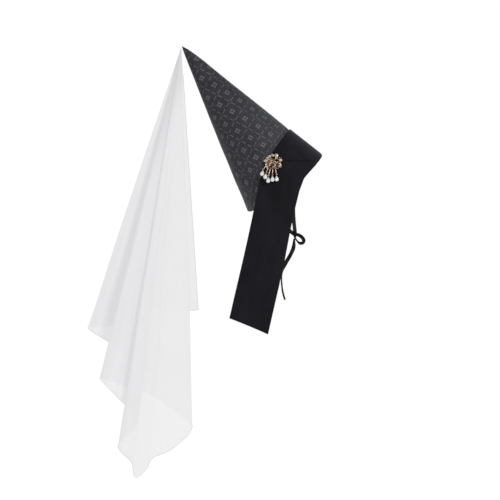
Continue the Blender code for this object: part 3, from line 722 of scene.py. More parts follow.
def jacquard_finish(colour, motif):
    """Charcoal cloth with woven squares between broken lines, all in the cloth's own rows."""
    finish = Finish("jacquard")
    cloth = finish.cloth()
    along, across, _ = finish.split(cloth)
    off_along = abs((along + 0.5).fract() - 0.5)
    off_across = abs((across + 0.5).fract() - 0.5)
    outer = off_along.most(off_across)
    inner = off_along.least(off_across)
    square = outer.between(*SQUARE_LINE)
    ears = inner.between(*EAR_LINE) * outer.step(*reversed(EAR_END))
    motif_mask = square.most(ears)
    for off, run in ((off_across, along), (off_along, across)):
        dashes = abs((run * 2.0).fract() - 0.5).step(*reversed(DASH_LENGTH))
        motif_mask = motif_mask.most((0.5 - off).step(*reversed(DASH_WIDTH)) * dashes)
    place = finish.place()
    thread = finish.grain(cloth, (150.0, 24.0, 1.0))
    weft = finish.grain(cloth, (24.0, 150.0, 1.0))
    patchy = finish.noise(place, 55.0, 4.0, 0.7)
    fine = finish.noise(place, 420.0, 3.0, 0.7)
    shown = motif_mask * (0.15 + 1.30 * patchy) * (0.50 + 0.9 * fine)
    ground = finish.mix((thread * 0.5 + weft * 0.5).step(0.38, 0.64),
                        shade(colour, 0.60), shade(colour, 1.42))
    worn = finish.mix(patchy.step(0.30, 0.72), shade(colour, 0.72), ground)
    speckled = finish.mix(fine.step(0.50, 0.70) * 0.50, worn, shade(motif, 0.80))
    # Painted light: the cloth is made lighter on the cone's upper side in its lower part, and all
    # round close to the rim.
    forward, _, up = finish.split(place)
    above = forward * math.cos(CONE_TILT) + up * math.sin(CONE_TILT)
    ahead = up * math.cos(CONE_TILT) - forward * math.sin(CONE_TILT)
    painted_light_mask = (above.step(-0.030, 0.050) * ahead.step(0.250, 0.090)).most(
        ahead.step(0.050, 0.010) * 0.7)
    with_painted_light = finish.mix(painted_light_mask * 0.20, speckled, shade(colour, 3.0))
    finish.feed("Base Color", finish.mix(shown.step(0.0, 1.0), with_painted_light, motif))
    finish.feed("Roughness", 0.78 - 0.18 * motif_mask)
    finish.bump(motif_mask * 0.7 + thread * 0.25 + weft * 0.25, 0.00025, 0.8)
    finish.constants(Specular_IOR_Level=0.20, Sheen_Weight=0.10, Sheen_Roughness=0.5,
                     Sheen_Tint=(0.75, 0.78, 0.86, 1.0))
    return finish.material


def lining_finish(colour):
    """Plain black lining with a trace of its threads."""
    finish = Finish("lining")
    place = finish.place()
    rows = finish.grain(place, (900.0, 900.0, 120.0))
    soft = finish.noise(place, 30.0, 3.0)
    finish.feed("Base Color", finish.mix(soft.step(0.3, 0.7), colour, shade(colour, 1.7)))
    finish.feed("Roughness", 0.42 + 0.2 * rows)
    finish.bump(rows, 0.00012, 0.6)
    finish.constants(Specular_IOR_Level=0.4)
    return finish.material


def velvet_finish(colour):
    """Pile that drinks the light, with a faint sheen where it turns away."""
    finish = Finish("velvet")
    place = finish.place()
    pile = finish.noise(place, 1500.0, 2.0, 0.6)
    brushed = finish.grain(place, (26.0, 26.0, 9.0), 4.0, 0.55)
    forward, _, up = finish.split(place)
    crease_with_painted_shade = (((up - CREASE_HEIGHT) / CREASE_WIDTH).bell()
              * forward.between(-0.004, 0.010, 0.052, 0.062))
    cloudy = finish.mix(brushed.step(0.32, 0.70), shade(colour, 0.72), shade(colour, 1.45))
    # Painted shade: the colour is darkened along the band's crease, on top of the crease's bump.
    finish.feed("Base Color", finish.mix(crease_with_painted_shade * 0.8, cloudy, shade(colour, 0.2)))
    finish.feed("Roughness", 0.80 + 0.18 * brushed)
    finish.bump(pile * 0.5 + brushed * 0.6 - crease_with_painted_shade * 1.3, 0.0004, 0.7)
    finish.constants(Specular_IOR_Level=0.12, Sheen_Weight=0.16, Sheen_Roughness=0.42,
                     Sheen_Tint=(0.62, 0.64, 0.80, 1.0))
    return finish.material


def satin_finish(colour):
    """Fine black satin, its threads along the ribbon."""
    finish = Finish("satin")
    threads = finish.grain(finish.cloth(), (2600.0, 90.0, 1.0))
    soft = finish.noise(finish.place(), 160.0, 3.0)
    finish.feed("Base Color", finish.mix(threads.step(0.3, 0.7), shade(colour, 0.7),
                                         shade(colour, 1.6)))
    finish.feed("Roughness", 0.34 + 0.16 * soft)
    finish.bump(threads, 0.00008, 0.6)
    finish.constants(Specular_IOR_Level=0.12)
    return finish.material


def chiffon_finish(colour, painted_glow, density):
    """Sheer cloth: each layer stops a share of the light behind it, and a painted glow (emission)
    stands in for the light it passes on.
    """
    finish = Finish("chiffon")
    cloth = finish.cloth()
    from_tip = finish.split(cloth)[1]
    crepe = finish.grain(cloth, (900.0, 900.0, 1.0), 3.0, 0.6)
    slub = finish.grain(cloth, (700.0, 30.0, 1.0))
    cloudy = finish.grain(cloth, (14.0, 9.0, 1.0), 3.0)
    finish.feed("Alpha", density + 0.08 * (crepe - 0.5) + 0.03 * (slub - 0.5)
                + 0.04 * (cloudy - 0.5))
    finish.feed("Base Color", finish.mix(cloudy.step(0.25, 0.75), shade(colour, 0.985),
                                         shade(colour, 1.015)))
    finish.feed("Roughness", 0.62 + 0.2 * crepe)
    finish.bump(crepe * 0.7 + slub * 0.2, 0.0002, 0.4)
    # Painted light: the chiffon glows, with painted shade where the glow is dimmer near the tip.
    painted_glow_grain = finish.mix(crepe.step(0.2, 0.8), shade(painted_glow, 0.985), shade(painted_glow, 1.015))
    finish.feed("Emission Color", finish.mix(from_tip.step(0.075, 0.012), painted_glow_grain,
                                             shade(painted_glow, 0.80)))
    finish.constants(Specular_IOR_Level=0.10, Emission_Strength=1.0)
    return finish.material


def hem_finish(colour, painted_glow):
    """The same chiffon rolled up, so denser, and duller where it is stitched."""
    finish = Finish("rolled_hem")
    stitches = finish.noise(finish.place(), 700.0)
    finish.feed("Base Color", finish.mix(stitches.step(0.3, 0.7), shade(colour, 0.90), colour))
    finish.feed("Alpha", 0.70 + 0.25 * stitches)
    finish.feed("Roughness", 0.6 + 0.2 * stitches)
    finish.bump(stitches, 0.0003, 0.6)
    # Painted light: the hem glows, a little dimmer than the chiffon.
    finish.constants(Specular_IOR_Level=0.1, Emission_Color=(*shade(painted_glow, 0.8), 1.0),
                     Emission_Strength=1.0)
    return finish.material


def metal_finish(name, colour, rough, dark):
    """Polished metal with antiqued hollows and fine scratches; dark is its worn share."""
    finish = Finish(name)
    place = finish.place()
    worn = finish.noise(place, 260.0, 4.0, 0.6)
    fine = finish.noise(place, 1900.0, 3.0, 0.6)
    polished = finish.mix(worn.step(0.36, 0.60), shade(colour, dark), colour)
    finish.feed("Base Color", finish.mix(finish.hollow(), polished, ANTIQUE))
    finish.feed("Roughness", rough + 0.22 * fine)
    finish.bump(fine * 0.6 + worn * 0.8, 0.00012, 0.6)
    finish.constants(Metallic=1.0)
    return finish.material


def enamel_finish(name, low, high):
    """Glossy cold enamel over metal, deeper in its hollows."""
    finish = Finish(name)
    place = finish.place()
    clouds = finish.noise(place, 320.0, 4.0, 0.6)
    glaze = finish.mix(clouds.step(0.34, 0.66), low, high)
    finish.feed("Base Color", finish.mix(finish.hollow(), glaze, ANTIQUE))
    finish.feed("Roughness", 0.22 + 0.2 * clouds)
    finish.bump(clouds, 0.0001, 0.5)
    finish.constants(Metallic=0.35, Specular_IOR_Level=0.6, Coat_Weight=0.35, Coat_Roughness=0.15)
    return finish.material


def stone_finish(name, low, high):
    """A cut stone, clouded between two colours."""
    finish = Finish(name)
    depth = finish.noise(finish.place(), 520.0, 3.0, 0.6)
    finish.feed("Base Color", finish.mix(depth.step(0.35, 0.65), low, high))
    finish.feed("Roughness", 0.05 + 0.06 * depth)
    finish.constants(Specular_IOR_Level=0.45, IOR=1.55, Coat_Weight=0.2, Coat_Roughness=0.04)
    return finish.material


def pearl_finish(colour):
    """Nacre: soft milky body, thin gloss, and a trace of rose and green in the lustre."""
    finish = Finish("pearl")
    place = finish.place()
    lustre = finish.noise(place, 130.0, 3.0, 0.5)
    skin = finish.noise(place, 900.0, 2.0, 0.5)
    tinted = finish.node("ShaderNodeValToRGB", {"stops": (
        (0.30, shade(colour, 0.93)), (0.45, (colour[0], colour[1] * 0.97, colour[2] * 0.98)),
        (0.58, (colour[0] * 0.97, colour[1], colour[2] * 0.98)), (0.72, shade(colour, 1.06)))},
        {"Fac": lustre})
    finish.feed("Base Color", tinted)
    finish.feed("Roughness", 0.20 + 0.14 * skin)
    finish.bump(skin, 0.00004, 0.5)
    finish.constants(Specular_IOR_Level=0.55, Coat_Weight=0.5, Coat_Roughness=0.1,
                     Sheen_Weight=0.5, Sheen_Roughness=0.3)
    return finish.material


# ---------------------------------------------------------------- mesh helpers


def smooth_run(points, steps):
    """Rows of numbers along a Catmull-Rom curve through the given rows."""
    rows = np.array(points, float)
    ends = np.vstack((2 * rows[0] - rows[1], rows, 2 * rows[-1] - rows[-2]))
    found = []
    for i in range(1, len(ends) - 2):
        a, b, c, d = ends[i - 1:i + 3]
        for k in range(steps):
            t = k / steps
            found.append(0.5 * (2 * b + (c - a) * t + (2 * a - 5 * b + 4 * c - d) * t * t
                                + (3 * b - a - 3 * c + d) * t ** 3))
    found.append(rows[-1])
    return np.array(found)


def grid_mesh(name, points, cloth=None, closed=False, slots=None):
    """A mesh through a grid of points, its UV map in cloth coordinates; closed joins its columns."""
    rows, columns = points.shape[:2]
    faces = []
    corners = []
    slot_list = []
    span = columns if closed else columns - 1
    for i in range(rows - 1):
        for j in range(span):
            k = (j + 1) % columns
            faces.append((i * columns + j, i * columns + k, (i + 1) * columns + k,
                          (i + 1) * columns + j))
            corners.append(((i, j), (i, j + 1), (i + 1, j + 1), (i + 1, j)))
            slot_list.append(slots[i] if slots else 0)
    mesh = bpy.data.meshes.new(name)
    mesh.from_pydata([tuple(p) for p in points.reshape(-1, 3)], [], faces)
    if cloth is not None:
        layer = mesh.uv_layers.new(name="cloth")
        flat = np.array([cloth[i, j] for face in corners for i, j in face], float)
        layer.data.foreach_set("uv", flat.ravel())
    mesh.polygons.foreach_set("material_index", slot_list)
    mesh.shade_smooth()
    mesh.update()
    return mesh


def add_piece(name, mesh, *materials):
    """Put a mesh into the scene under its name."""
    piece = bpy.data.objects.new(name, mesh)
    bpy.context.scene.collection.objects.link(piece)
    for material in materials:
        mesh.materials.append(material)
    return piece


def bake_modifiers(piece):
    """Turn the piece's modifiers into plain mesh."""
    bpy.context.view_layer.update()
    depsgraph = bpy.context.evaluated_depsgraph_get()
    made = bpy.data.meshes.new_from_object(piece.evaluated_get(depsgraph))
    piece.modifiers.clear()
    piece.data = made
    return piece


def give_wall(piece, wall, offset, bevel=0.0, back_slot=0):
    """Give a sheet its thickness and, if asked, soft edges."""
    solid = piece.modifiers.new("wall", "SOLIDIFY")
    solid.thickness = wall
    solid.offset = offset
    solid.use_even_offset = True
    solid.material_offset = back_slot
    if bevel:
        soft = piece.modifiers.new("soft edges", "BEVEL")
        soft.width = bevel
        soft.segments = 3
        soft.limit_method = "ANGLE"
        soft.angle_limit = math.radians(50.0)
    return bake_modifiers(piece)


def dress(piece, slot_name, *nodes):
    """Hide the solids that the piece stands for and hang it on the root body; slot_name is not used.
    """
    if nodes:
        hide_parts(*nodes)
    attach(piece, "root")
    return piece


def ripple(place, size, seed):
    """Smooth noise of about -1 to 1 at a place, for bumps of the given size."""
    return noise.noise(Vector(place) / size + Vector((seed, seed * 0.37, -seed)))


def heading(places, i):
    """From the place before to the place after, along a row of places."""
    return places[min(i + 1, len(places) - 1)] - places[max(i - 1, 0)]


def ring_places(middle, first, second, count, turn=0.0):
    """Places round a ring that two arms span; turn is in steps of the ring."""
    return [middle + first * math.cos(a) + second * math.sin(a)
            for a in (2 * math.pi * (k + turn) / count for k in range(count))]


def tube_rings(path, radius, sides, taper=None):
    """Rings round a path, for a wire; taper gives the share of its radius along it."""
    path = [Vector(place) for place in path]
    last = len(path) - 1
    rings = []
    side = heading(path, 0).orthogonal()
    for i, place in enumerate(path):
        run = heading(path, i).normalized()
        side = (side - run * side.dot(run)).normalized()
        wide = radius * (taper(i / last) if taper else 1.0)
        rings.append(ring_places(place, side * wide, run.cross(side) * wide, sides))
    return rings


def mark_hollow(work, verts, depth):
    """Note how deep in a hollow the vertices lie, where the mesh keeps it."""
    layer = work.verts.layers.float.get("hollow")
    if layer is not None:
        for vert in verts:
            vert[layer] = depth


def add_face(work, verts, slot=0, smooth=True):
    """Add one face in its slot."""
    face = work.faces.new(verts)
    face.material_index = slot
    face.smooth = smooth


def join_loops(work, first, second, slot=0, smooth=True):
    """Faces between two rings of vertices."""
    count = len(first)
    for k in range(count):
        m = (k + 1) % count
        add_face(work, (first[k], first[m], second[m], second[k]), slot, smooth)


def loft_into(work, rings, slot=0, smooth=True, smooth_ends=False, hollow=0.0):
    """Add a closed solid through rings of places to the bmesh."""
    loops = [[work.verts.new(place) for place in ring] for ring in rings]
    for loop in loops:
        mark_hollow(work, loop, hollow)
    for first, second in zip(loops, loops[1:]):
        join_loops(work, first, second, slot, smooth)
    add_face(work, loops[0][::-1], slot, smooth_ends)
    add_face(work, loops[-1], slot, smooth_ends)


def tube_into(work, path, radius, sides, taper=None, slot=0, hollow=0.0):
    """Add a closed round wire along a path."""
    loft_into(work, tube_rings(path, radius, sides, taper), slot, smooth_ends=True, hollow=hollow)


def ring_into(work, place, axis, radius, wire, slot=0, sides=24):
    """Add a round wire ring whose hole runs along the given axis."""
    first = axis.orthogonal().normalized()
    loops = [[work.verts.new(p) for p in ring_places(place + out * radius, out * wire,
                                                     axis * wire, RING_SIDES)]
             for out in ring_places(Vector(), first, axis.cross(first), sides)]
    for loop, following in zip(loops, loops[1:] + loops[:1]):
        join_loops(work, loop, following, slot)


def ball_into(work, to_place, radius, slot, sides=10, levels=7):
    """Add a ball; to_place is its middle, or a matrix that also stretches it."""
    if isinstance(to_place, Vector):
        to_place = Matrix.Translation(to_place)
    made = bmesh.ops.create_uvsphere(work, u_segments=sides, v_segments=levels, radius=radius,
                                     matrix=to_place)
    for face in {face for vert in made["verts"] for face in vert.link_faces}:
        face.material_index = slot
        face.smooth = True


def shell_into(work, steps, place_at, hollow_at, wall, slot):
    """Add a thin closed shell; place_at takes shares along (0 to 1) and across (-1 to 1)."""
    sides = [2 * k / SHELL_FACES - 1 for k in range(SHELL_FACES + 1)]
    shares = [i / steps for i in range(steps + 1)]
    rows = [[place_at(t, s) for s in sides] for t in shares]
    lines = list(zip(*rows))
    front = [[work.verts.new(place) for place in row] for row in rows]
    back = [[work.verts.new(place - heading(lines[j], i).cross(heading(row, j)).normalized() * wall)
             for j, place in enumerate(row)] for i, row in enumerate(rows)]
    for t, front_row, back_row in zip(shares, front, back):
        mark_hollow(work, back_row, BACK_HOLLOW)
        for s, vert in zip(sides, front_row):
            mark_hollow(work, (vert,), hollow_at(t, s))
    for sheet in (front, back):
        for first, second in zip(sheet, sheet[1:]):
            for j in range(SHELL_FACES):
                add_face(work, (first[j], first[j + 1], second[j + 1], second[j]), slot)
    around = ([(0, j) for j in range(SHELL_FACES)] + [(i, SHELL_FACES) for i in range(steps)]
              + [(steps, j) for j in range(SHELL_FACES, 0, -1)]
              + [(i, 0) for i in range(steps, 0, -1)])
    for (i, j), (k, m) in zip(around, around[1:] + around[:1]):
        add_face(work, (front[i][j], back[i][j], back[k][m], front[k][m]), slot)


def mesh_into(work, mesh, slot, hollow=0.0):
    """Add a mesh to the bmesh, all in one slot."""
    before = len(work.verts), len(work.faces)
    work.from_mesh(mesh)
    mark_hollow(work, list(work.verts)[before[0]:], hollow)
    for face in list(work.faces)[before[1]:]:
        face.material_index = slot


def finish_bmesh(name, work, to_place=None):
    """Turn the faces outwards and make a mesh of them, moved to its place."""
    bmesh.ops.recalc_face_normals(work, faces=work.faces)
    mesh = bpy.data.meshes.new(name)
    work.to_mesh(mesh)
    work.free()
    if to_place:
        mesh.transform(to_place)
    return mesh


def face_outwards(mesh, close=False):
    """Turn a mesh's faces outwards, after closing its holes if asked."""
    work = bmesh.new()
    work.from_mesh(mesh)
    if close:
        bmesh.ops.holes_fill(work, edges=[e for e in work.edges if e.is_boundary], sides=0)
    bmesh.ops.recalc_face_normals(work, faces=work.faces)
    work.to_mesh(mesh)
    work.free()


# ---------------------------------------------------------------- the cone


def cone_turn_uv(turn, slant, sizes):
    """Motif rows and columns of a place on the unrolled cone: turn from the near flank."""
    flat = turn * math.sin(HALF_ANGLE)
    u = slant * math.cos(flat) - MOTIF_START[0]
    v = slant * math.sin(flat) - MOTIF_START[1]
    forward, side = math.cos(MOTIF_TURN), math.sin(MOTIF_TURN)
    return ((u * forward + v * side) / sizes.motif_pitch_long,
            (u * side - v * forward) / sizes.motif_pitch_cross)


def ease(share):
    """0 below 0, 1 above 1 and smooth between."""
    share = min(max(share, 0.0), 1.0)
    return share * share * (3 - 2 * share)


def from_table(table, place, column=1):
    """A table's value at a place that its first column gives."""
    columns = np.array(table)
    return float(np.interp(place, columns[:, 0], columns[:, column]))


def rim_reach(from_brow):
    """How far the cone's rim reaches past the solid's: drawn in at the brow, level at the nape."""
    if from_brow < math.pi / 2:
        return min(from_table(RIM_REACH, from_brow * RIM_RADIUS) - GAP, 0.0)
    return from_table(NAPE_REACH, math.degrees(math.pi - from_brow))


def cone_profile():
    """Height, radius, lift and slot of each ring: outside, rolled rim, facing and lining."""
    sections = smooth_run(CONE_SECTIONS, 6)
    wall = CONE_WALL / math.cos(HALF_ANGLE)
    profile = []
    for along, full, lift in sections:
        radius = max(RIM_RADIUS * (along + full), TIP_RADIUS * min(1.0, 0.25 + along * 60))
        profile.append((CONE_LENGTH * (1 - along), radius, lift * RIM_RADIUS, 0))
    rim = profile[-1][1]
    for k in range(1, ROLL_STEPS):
        swing = math.pi * k / ROLL_STEPS
        profile.append((-wall / 2 * math.sin(swing) * 0.8,
                        rim - wall / 2 * (1 - math.cos(swing)), 0.0, 0))
    for along, full, lift in reversed(sections):
        height = CONE_LENGTH * (1 - along)
        radius = RIM_RADIUS * (along + full) - wall
        if radius > wall:
            profile.append((height, radius, lift * RIM_RADIUS, 0 if height < FACING else 1))
    return profile


def cone_point(sizes, ring, turn, faces_off):
    """A place on the cloth: turn from the near flank, and how many faces off the seam."""
    height, radius, lift, slot = ring
    slant = (CONE_LENGTH - height) / math.cos(HALF_ANGLE)
    angle = turn - math.pi / 2
    from_brow = abs(math.remainder(angle, 2 * math.pi))
    seam = math.exp(-(faces_off / SEAM_FACES) ** 2) * SEAM_RISE if slot == 0 else 0.0
    edge = (SLANT - BAND_WIDTH - CLOTH_STEP
            + BAND_END_STEP * ease((from_brow - BAND_END_ANGLE) / BAND_END_SPAN))
    free = 1.0 - ease((slant - edge) / CLOTH_STEP)
    bumps = ripple((radius * math.cos(angle), radius * math.sin(angle), height), RIPPLE_SIZE, 3.0)
    shift = bumps * sizes.cloth_ripple + sizes.cloth_stand * min(slant / TIP_EASE, 1.0)
    reach = max(radius + (shift * free + seam) * (1 - slot), 0.0002)
    past = rim_reach(from_brow) * ease((slant - SLANT + RIM_EASE) / RIM_EASE)
    reach += past * math.sin(HALF_ANGLE)
    return TO_WORN @ Vector((lift + reach * math.cos(angle), reach * math.sin(angle),
                             height - past * math.cos(HALF_ANGLE)))


def make_cone_mesh(sizes):
    """Cloth outside, rolled over the rim, and lining inside, with a seam down the back."""
    profile = cone_profile()
    sides = sizes.cone_sides
    points = np.zeros((len(profile), sides, 3))
    cloth = np.zeros((len(profile), sides + 1, 2))
    for i, ring in enumerate(profile):
        slant = (CONE_LENGTH - ring[0]) / math.cos(HALF_ANGLE)
        for j in range(sides + 1):
            turn = -math.pi / 2 + 2 * math.pi * j / sides
            cloth[i, j] = cone_turn_uv(turn, slant, sizes)
            if j < sides:
                points[i, j] = cone_point(sizes, ring, turn, min(j, sides - j))
    mesh = grid_mesh("cone_cloth", points, cloth, closed=True, slots=[ring[3] for ring in profile])
    face_outwards(mesh, close=True)
    return mesh


class HENNIN_OT_cone(bpy.types.Operator):
    """Make the cone's patterned cloth and its lining."""
    bl_idname = "hennin.cone"
    bl_label = "Cone"

    def execute(self, context):
        scene = context.scene
        sizes, finishes = scene.hennin_hat, scene.hennin_finishes
        piece = add_piece("cone_cloth", make_cone_mesh(sizes),
                          jacquard_finish(finishes.cone, finishes.motif),
                          lining_finish(shade(finishes.cone, 0.35)))
        dress(piece, "jacquard", "cone")
        return {"FINISHED"}


# ---------------------------------------------------------------- the frontlet


def cone_place(across, down):
    """Off the cone's axis and up along it, of a place seen from the side."""
    turned = FROM_WORN @ Vector((across, 0.0, down))
    return turned.x, turned.z


def flank_depth(across, down):
    """Half the width of the cone, or of its flare below the rim, at a place seen from the side."""
    off_axis, height = cone_place(across, down)
    radius = (CONE_LENGTH - height) * math.tan(HALF_ANGLE) + GAP / math.cos(HALF_ANGLE)
    return math.sqrt(max(radius * radius - off_axis * off_axis, 0.0))


def band_point(share, run):
    """A place of the flat-cut band wrapped on the cone."""
    ahead = (SLANT - BAND_WIDTH * (1 - share)
             + from_table(RIM_REACH, run) * ease((share - 0.50) / 0.50))
    slant = math.hypot(ahead, run)
    angle = math.atan2(run, ahead) / math.sin(HALF_ANGLE)
    radius = slant * math.sin(HALF_ANGLE) + GAP * math.cos(HALF_ANGLE)
    height = CONE_LENGTH - slant * math.cos(HALF_ANGLE) + GAP * math.sin(HALF_ANGLE)
    return TO_WORN @ Vector((radius * math.cos(angle), -radius * math.sin(angle), height))


def turn_run(share):
    """How far from the forehead the band turns down, at a share of its width."""
    back = (SLANT - BAND_WIDTH) * math.tan(TURN_ANGLE_BACK * math.sin(HALF_ANGLE))
    front = SLANT * math.tan(TURN_ANGLE_FRONT * math.sin(HALF_ANGLE))
    return back + (front - back) * share


def edge_shares(along):
    """How far the lappet's back and front edges stand in at a share of its length."""
    return from_table(LAPPET_EDGES, along), from_table(LAPPET_EDGES, along, 2)


def band_rows(columns):
    """The band on the cone, from the forehead to the turn of the lappet."""
    rows, runs = [], []
    for k in range(BAND_RIBS + 1):
        reach = [(turn_run(v) - r) * k / BAND_RIBS for v, corner, r in columns]
        rows.append([band_point(column[0], run) for column, run in zip(columns, reach)])
        runs.append(reach)
    return rows, runs


def turn_rows(columns, starts):
    """The rounded turn from the band down into the lappet."""
    rows, runs = [], []
    for k in range(1, TURN_RIBS + 1):
        t = k / TURN_RIBS
        row = []
        for start, (v, corner, r) in zip(starts, columns):
            end = corner + HANG * r
            place = start * (1 - t) ** 2 + corner * 2 * t * (1 - t) + end * t * t
            place.x -= LAPPET_SHIFT[0][1] * t
            row.append(Vector((place.x, -flank_depth(place.x, place.z), place.z)))
        rows.append(row)
        runs.append([turn_run(v) - r + 2 * r * t for v, corner, r in columns])
    return rows, runs


def lappet_rows(columns, above, fold_depth):
    """The lappet, which lies on the cone's flank and hangs straight below it."""
    edge = (columns[-1][1] - columns[0][1]).normalized()
    depth = np.zeros((len(LAPPET_ROWS), len(columns)))
    lines = []
    for n, along in enumerate(LAPPET_ROWS):
        back, front = edge_shares(along)
        line = []
        for c, (v, corner, r) in enumerate(columns):
            inward = (back * (1 - v) - front * v) * BAND_WIDTH
            length = LAPPET_LENGTH - HEM_LIFT_BACK * (1 - v) - HEM_LIFT_FRONT * v
            place = corner + HANG * (r + (length - r) * along) + edge * inward
            place.x -= from_table(LAPPET_SHIFT, along)
            line.append(place)
            over = cone_place(place.x, place.z)[1] > BELOW_RIM
            reach = flank_depth(place.x, place.z) + LAPPET_CLEAR if over else 0.0
            depth[n, c] = max(above[c], reach)
        depth[n] = span_hollows(depth[n])
        above = depth[n]
        lines.append(line)
    depth = np.maximum(soften(depth), depth)
    rows, runs = [], []
    for n, (along, line) in enumerate(zip(LAPPET_ROWS, lines)):
        row = []
        for c, place in enumerate(line):
            fold = lappet_fold(columns[c][0], along, LAPPET_LENGTH * along)
            row.append(Vector((place.x, -depth[n, c] - fold * fold_depth, place.z)))
        rows.append(row)
        runs.append([turn_run(v) + r + (LAPPET_LENGTH - r) * along for v, corner, r in columns])
    return rows, runs


def frontlet_half(sizes):
    """The near half's inner face as a grid, and its places on the flat cloth."""
    shares = np.linspace(0.0, 1.0, FRONTLET_COLUMNS)
    columns = [(v, band_point(v, turn_run(v)), TURN_ROUNDING + (FRONT_ROUNDING - TURN_ROUNDING) * v)
               for v in shares]
    band, band_runs = band_rows(columns)
    turn, turn_runs = turn_rows(columns, band[-1])
    lappet, lappet_runs = lappet_rows(columns, [-p.y for p in turn[-1]], sizes.velvet_ripple)
    rows = band + turn + lappet
    runs = band_runs + turn_runs + lappet_runs
    cloth = np.array([[(v * BAND_WIDTH, r) for v, r in zip(shares, line)] for line in runs])
    return np.array([[tuple(p) for p in row] for row in rows]), cloth


def span_hollows(depths):
    """Cloth spans a hollow between two places that stand out: the upper chain of the row."""
    count = len(depths)
    chain = [0]
    for i in range(1, count):
        while len(chain) > 1:
            a, b = chain[-2], chain[-1]
            if (depths[b] - depths[a]) * (i - a) <= (depths[i] - depths[a]) * (b - a):
                chain.pop()
            else:
                break
        chain.append(i)
    return np.interp(np.arange(count), chain, [depths[i] for i in chain])


def soften(depth):
    """Even out a table of depths down the rows."""
    padded = np.vstack([depth[:1]] * 4 + [depth] + [depth[-1:]] * 4)
    weights = np.array([1, 3, 6, 9, 10, 9, 6, 3, 1], float)
    weights /= weights.sum()
    return sum(w * padded[k:k + len(depth)] for k, w in enumerate(weights))


def lappet_fold(v, share, fall):
    """Soft folds of the hanging lappet and the dip of its hem stitching."""
    fade = min(max((share - 0.10) / 0.30, 0.0), 1.0)
    ridge = math.exp(-((v - 0.38 - 0.10 * share) / 0.10) ** 2) * (1.0 - 0.6 * share)
    valley = -0.7 * math.exp(-((v - 0.66) / 0.12) ** 2) * share
    edge = 0.5 * share * (math.exp(-(v / 0.05) ** 2) + math.exp(-((1 - v) / 0.05) ** 2))
    loose = 0.35 * ripple((v * BAND_WIDTH, fall, 0.0), 0.050, 7.0)
    above_hem = LAPPET_LENGTH - HEM_STITCH_UP - fall
    hem = -0.30 * math.exp(-(above_hem / HEM_STITCH_WIDTH) ** 2)
    return fade * (ridge + valley + edge + loose) + hem


class HENNIN_OT_frontlet(bpy.types.Operator):
    """Make the velvet band over the brow and its two lappets."""
    bl_idname = "hennin.frontlet"
    bl_label = "Frontlet"

    def execute(self, context):
        scene = context.scene
        near, cloth = frontlet_half(scene.hennin_hat)
        far = near[:0:-1] * np.array([1.0, -1.0, 1.0])
        far_cloth = cloth[:0:-1] * np.array([1.0, -1.0])
        points = np.concatenate((far, near))[:, ::-1]
        uv = np.concatenate((far_cloth, cloth))[:, ::-1]
        velvet = velvet_finish(scene.hennin_finishes.velvet)
        lining = lining_finish(shade(scene.hennin_finishes.velvet, 1.2))
        piece = add_piece("frontlet_velvet", grid_mesh("frontlet_velvet", points, uv),
                          velvet, lining)
        give_wall(piece, VELVET_WALL, 1.0, bevel=VELVET_BEVEL, back_slot=1)
        dress(piece, "velvet", "frontlet")
        return {"FINISHED"}


# ---------------------------------------------------------------- the veil


def veil_direction(lean, side):
    """The way a fold hangs: its lean back and to the side, in degrees."""
    lean, side = math.radians(lean), math.radians(side)
    return Vector((-math.sin(lean) * math.cos(side), math.sin(side),
                   -math.cos(lean) * math.cos(side)))


def veil_grid(sizes):
    """Points of the hanging chiffon and their places on the flat cloth."""
    top = TIP + Vector((-TIP_RADIUS - GAP, 0.0, -TIP_RADIUS))
    path = smooth_run(VEIL_FOLDS, sizes.columns_per_fold)
    count = len(path)
    directions = [veil_direction(lean, side) for lean, side, hem in path]
    swept = [0.0]
    for a, b in zip(directions, directions[1:]):
        swept.append(swept[-1] + a.angle(b))
    points = np.zeros((sizes.rows, count, 3))
    cloth = np.zeros((sizes.rows, count, 2))
    for j, ((lean, side, hem), aim) in enumerate(zip(path, directions)):
        face = heading(directions, j).cross(aim).normalized()
        for i in range(sizes.rows):
            t = i / (sizes.rows - 1)
            reach = VEIL_START + (hem * VEIL_LENGTH - VEIL_START) * t
            place = top + aim * reach
            swing = veil_wrinkle(swept[j], reach, hem * VEIL_LENGTH - reach)
            points[i, j] = place + face * (swing * sizes.wrinkle)
            cloth[i, j] = (reach * math.sin(swept[j]), reach * math.cos(swept[j]))
    return points, cloth


def veil_wrinkle(turn, reach, to_hem):
    """Creases that run down from the tip and grow, and a flutter along the hem."""
    grow = min(reach / 0.45, 1.0) ** 1.5
    long_crease = noise.noise(Vector((turn * 17.0, reach * 2.2, 5.0)))
    fine_crease = 0.45 * noise.noise(Vector((turn * 42.0, reach * 5.0, 9.0)))
    flutter = 0.5 * math.exp(-to_hem / 0.030) * noise.noise(Vector((turn * 60.0, 1.0, 2.0)))
    return grow * (long_crease + fine_crease) + flutter


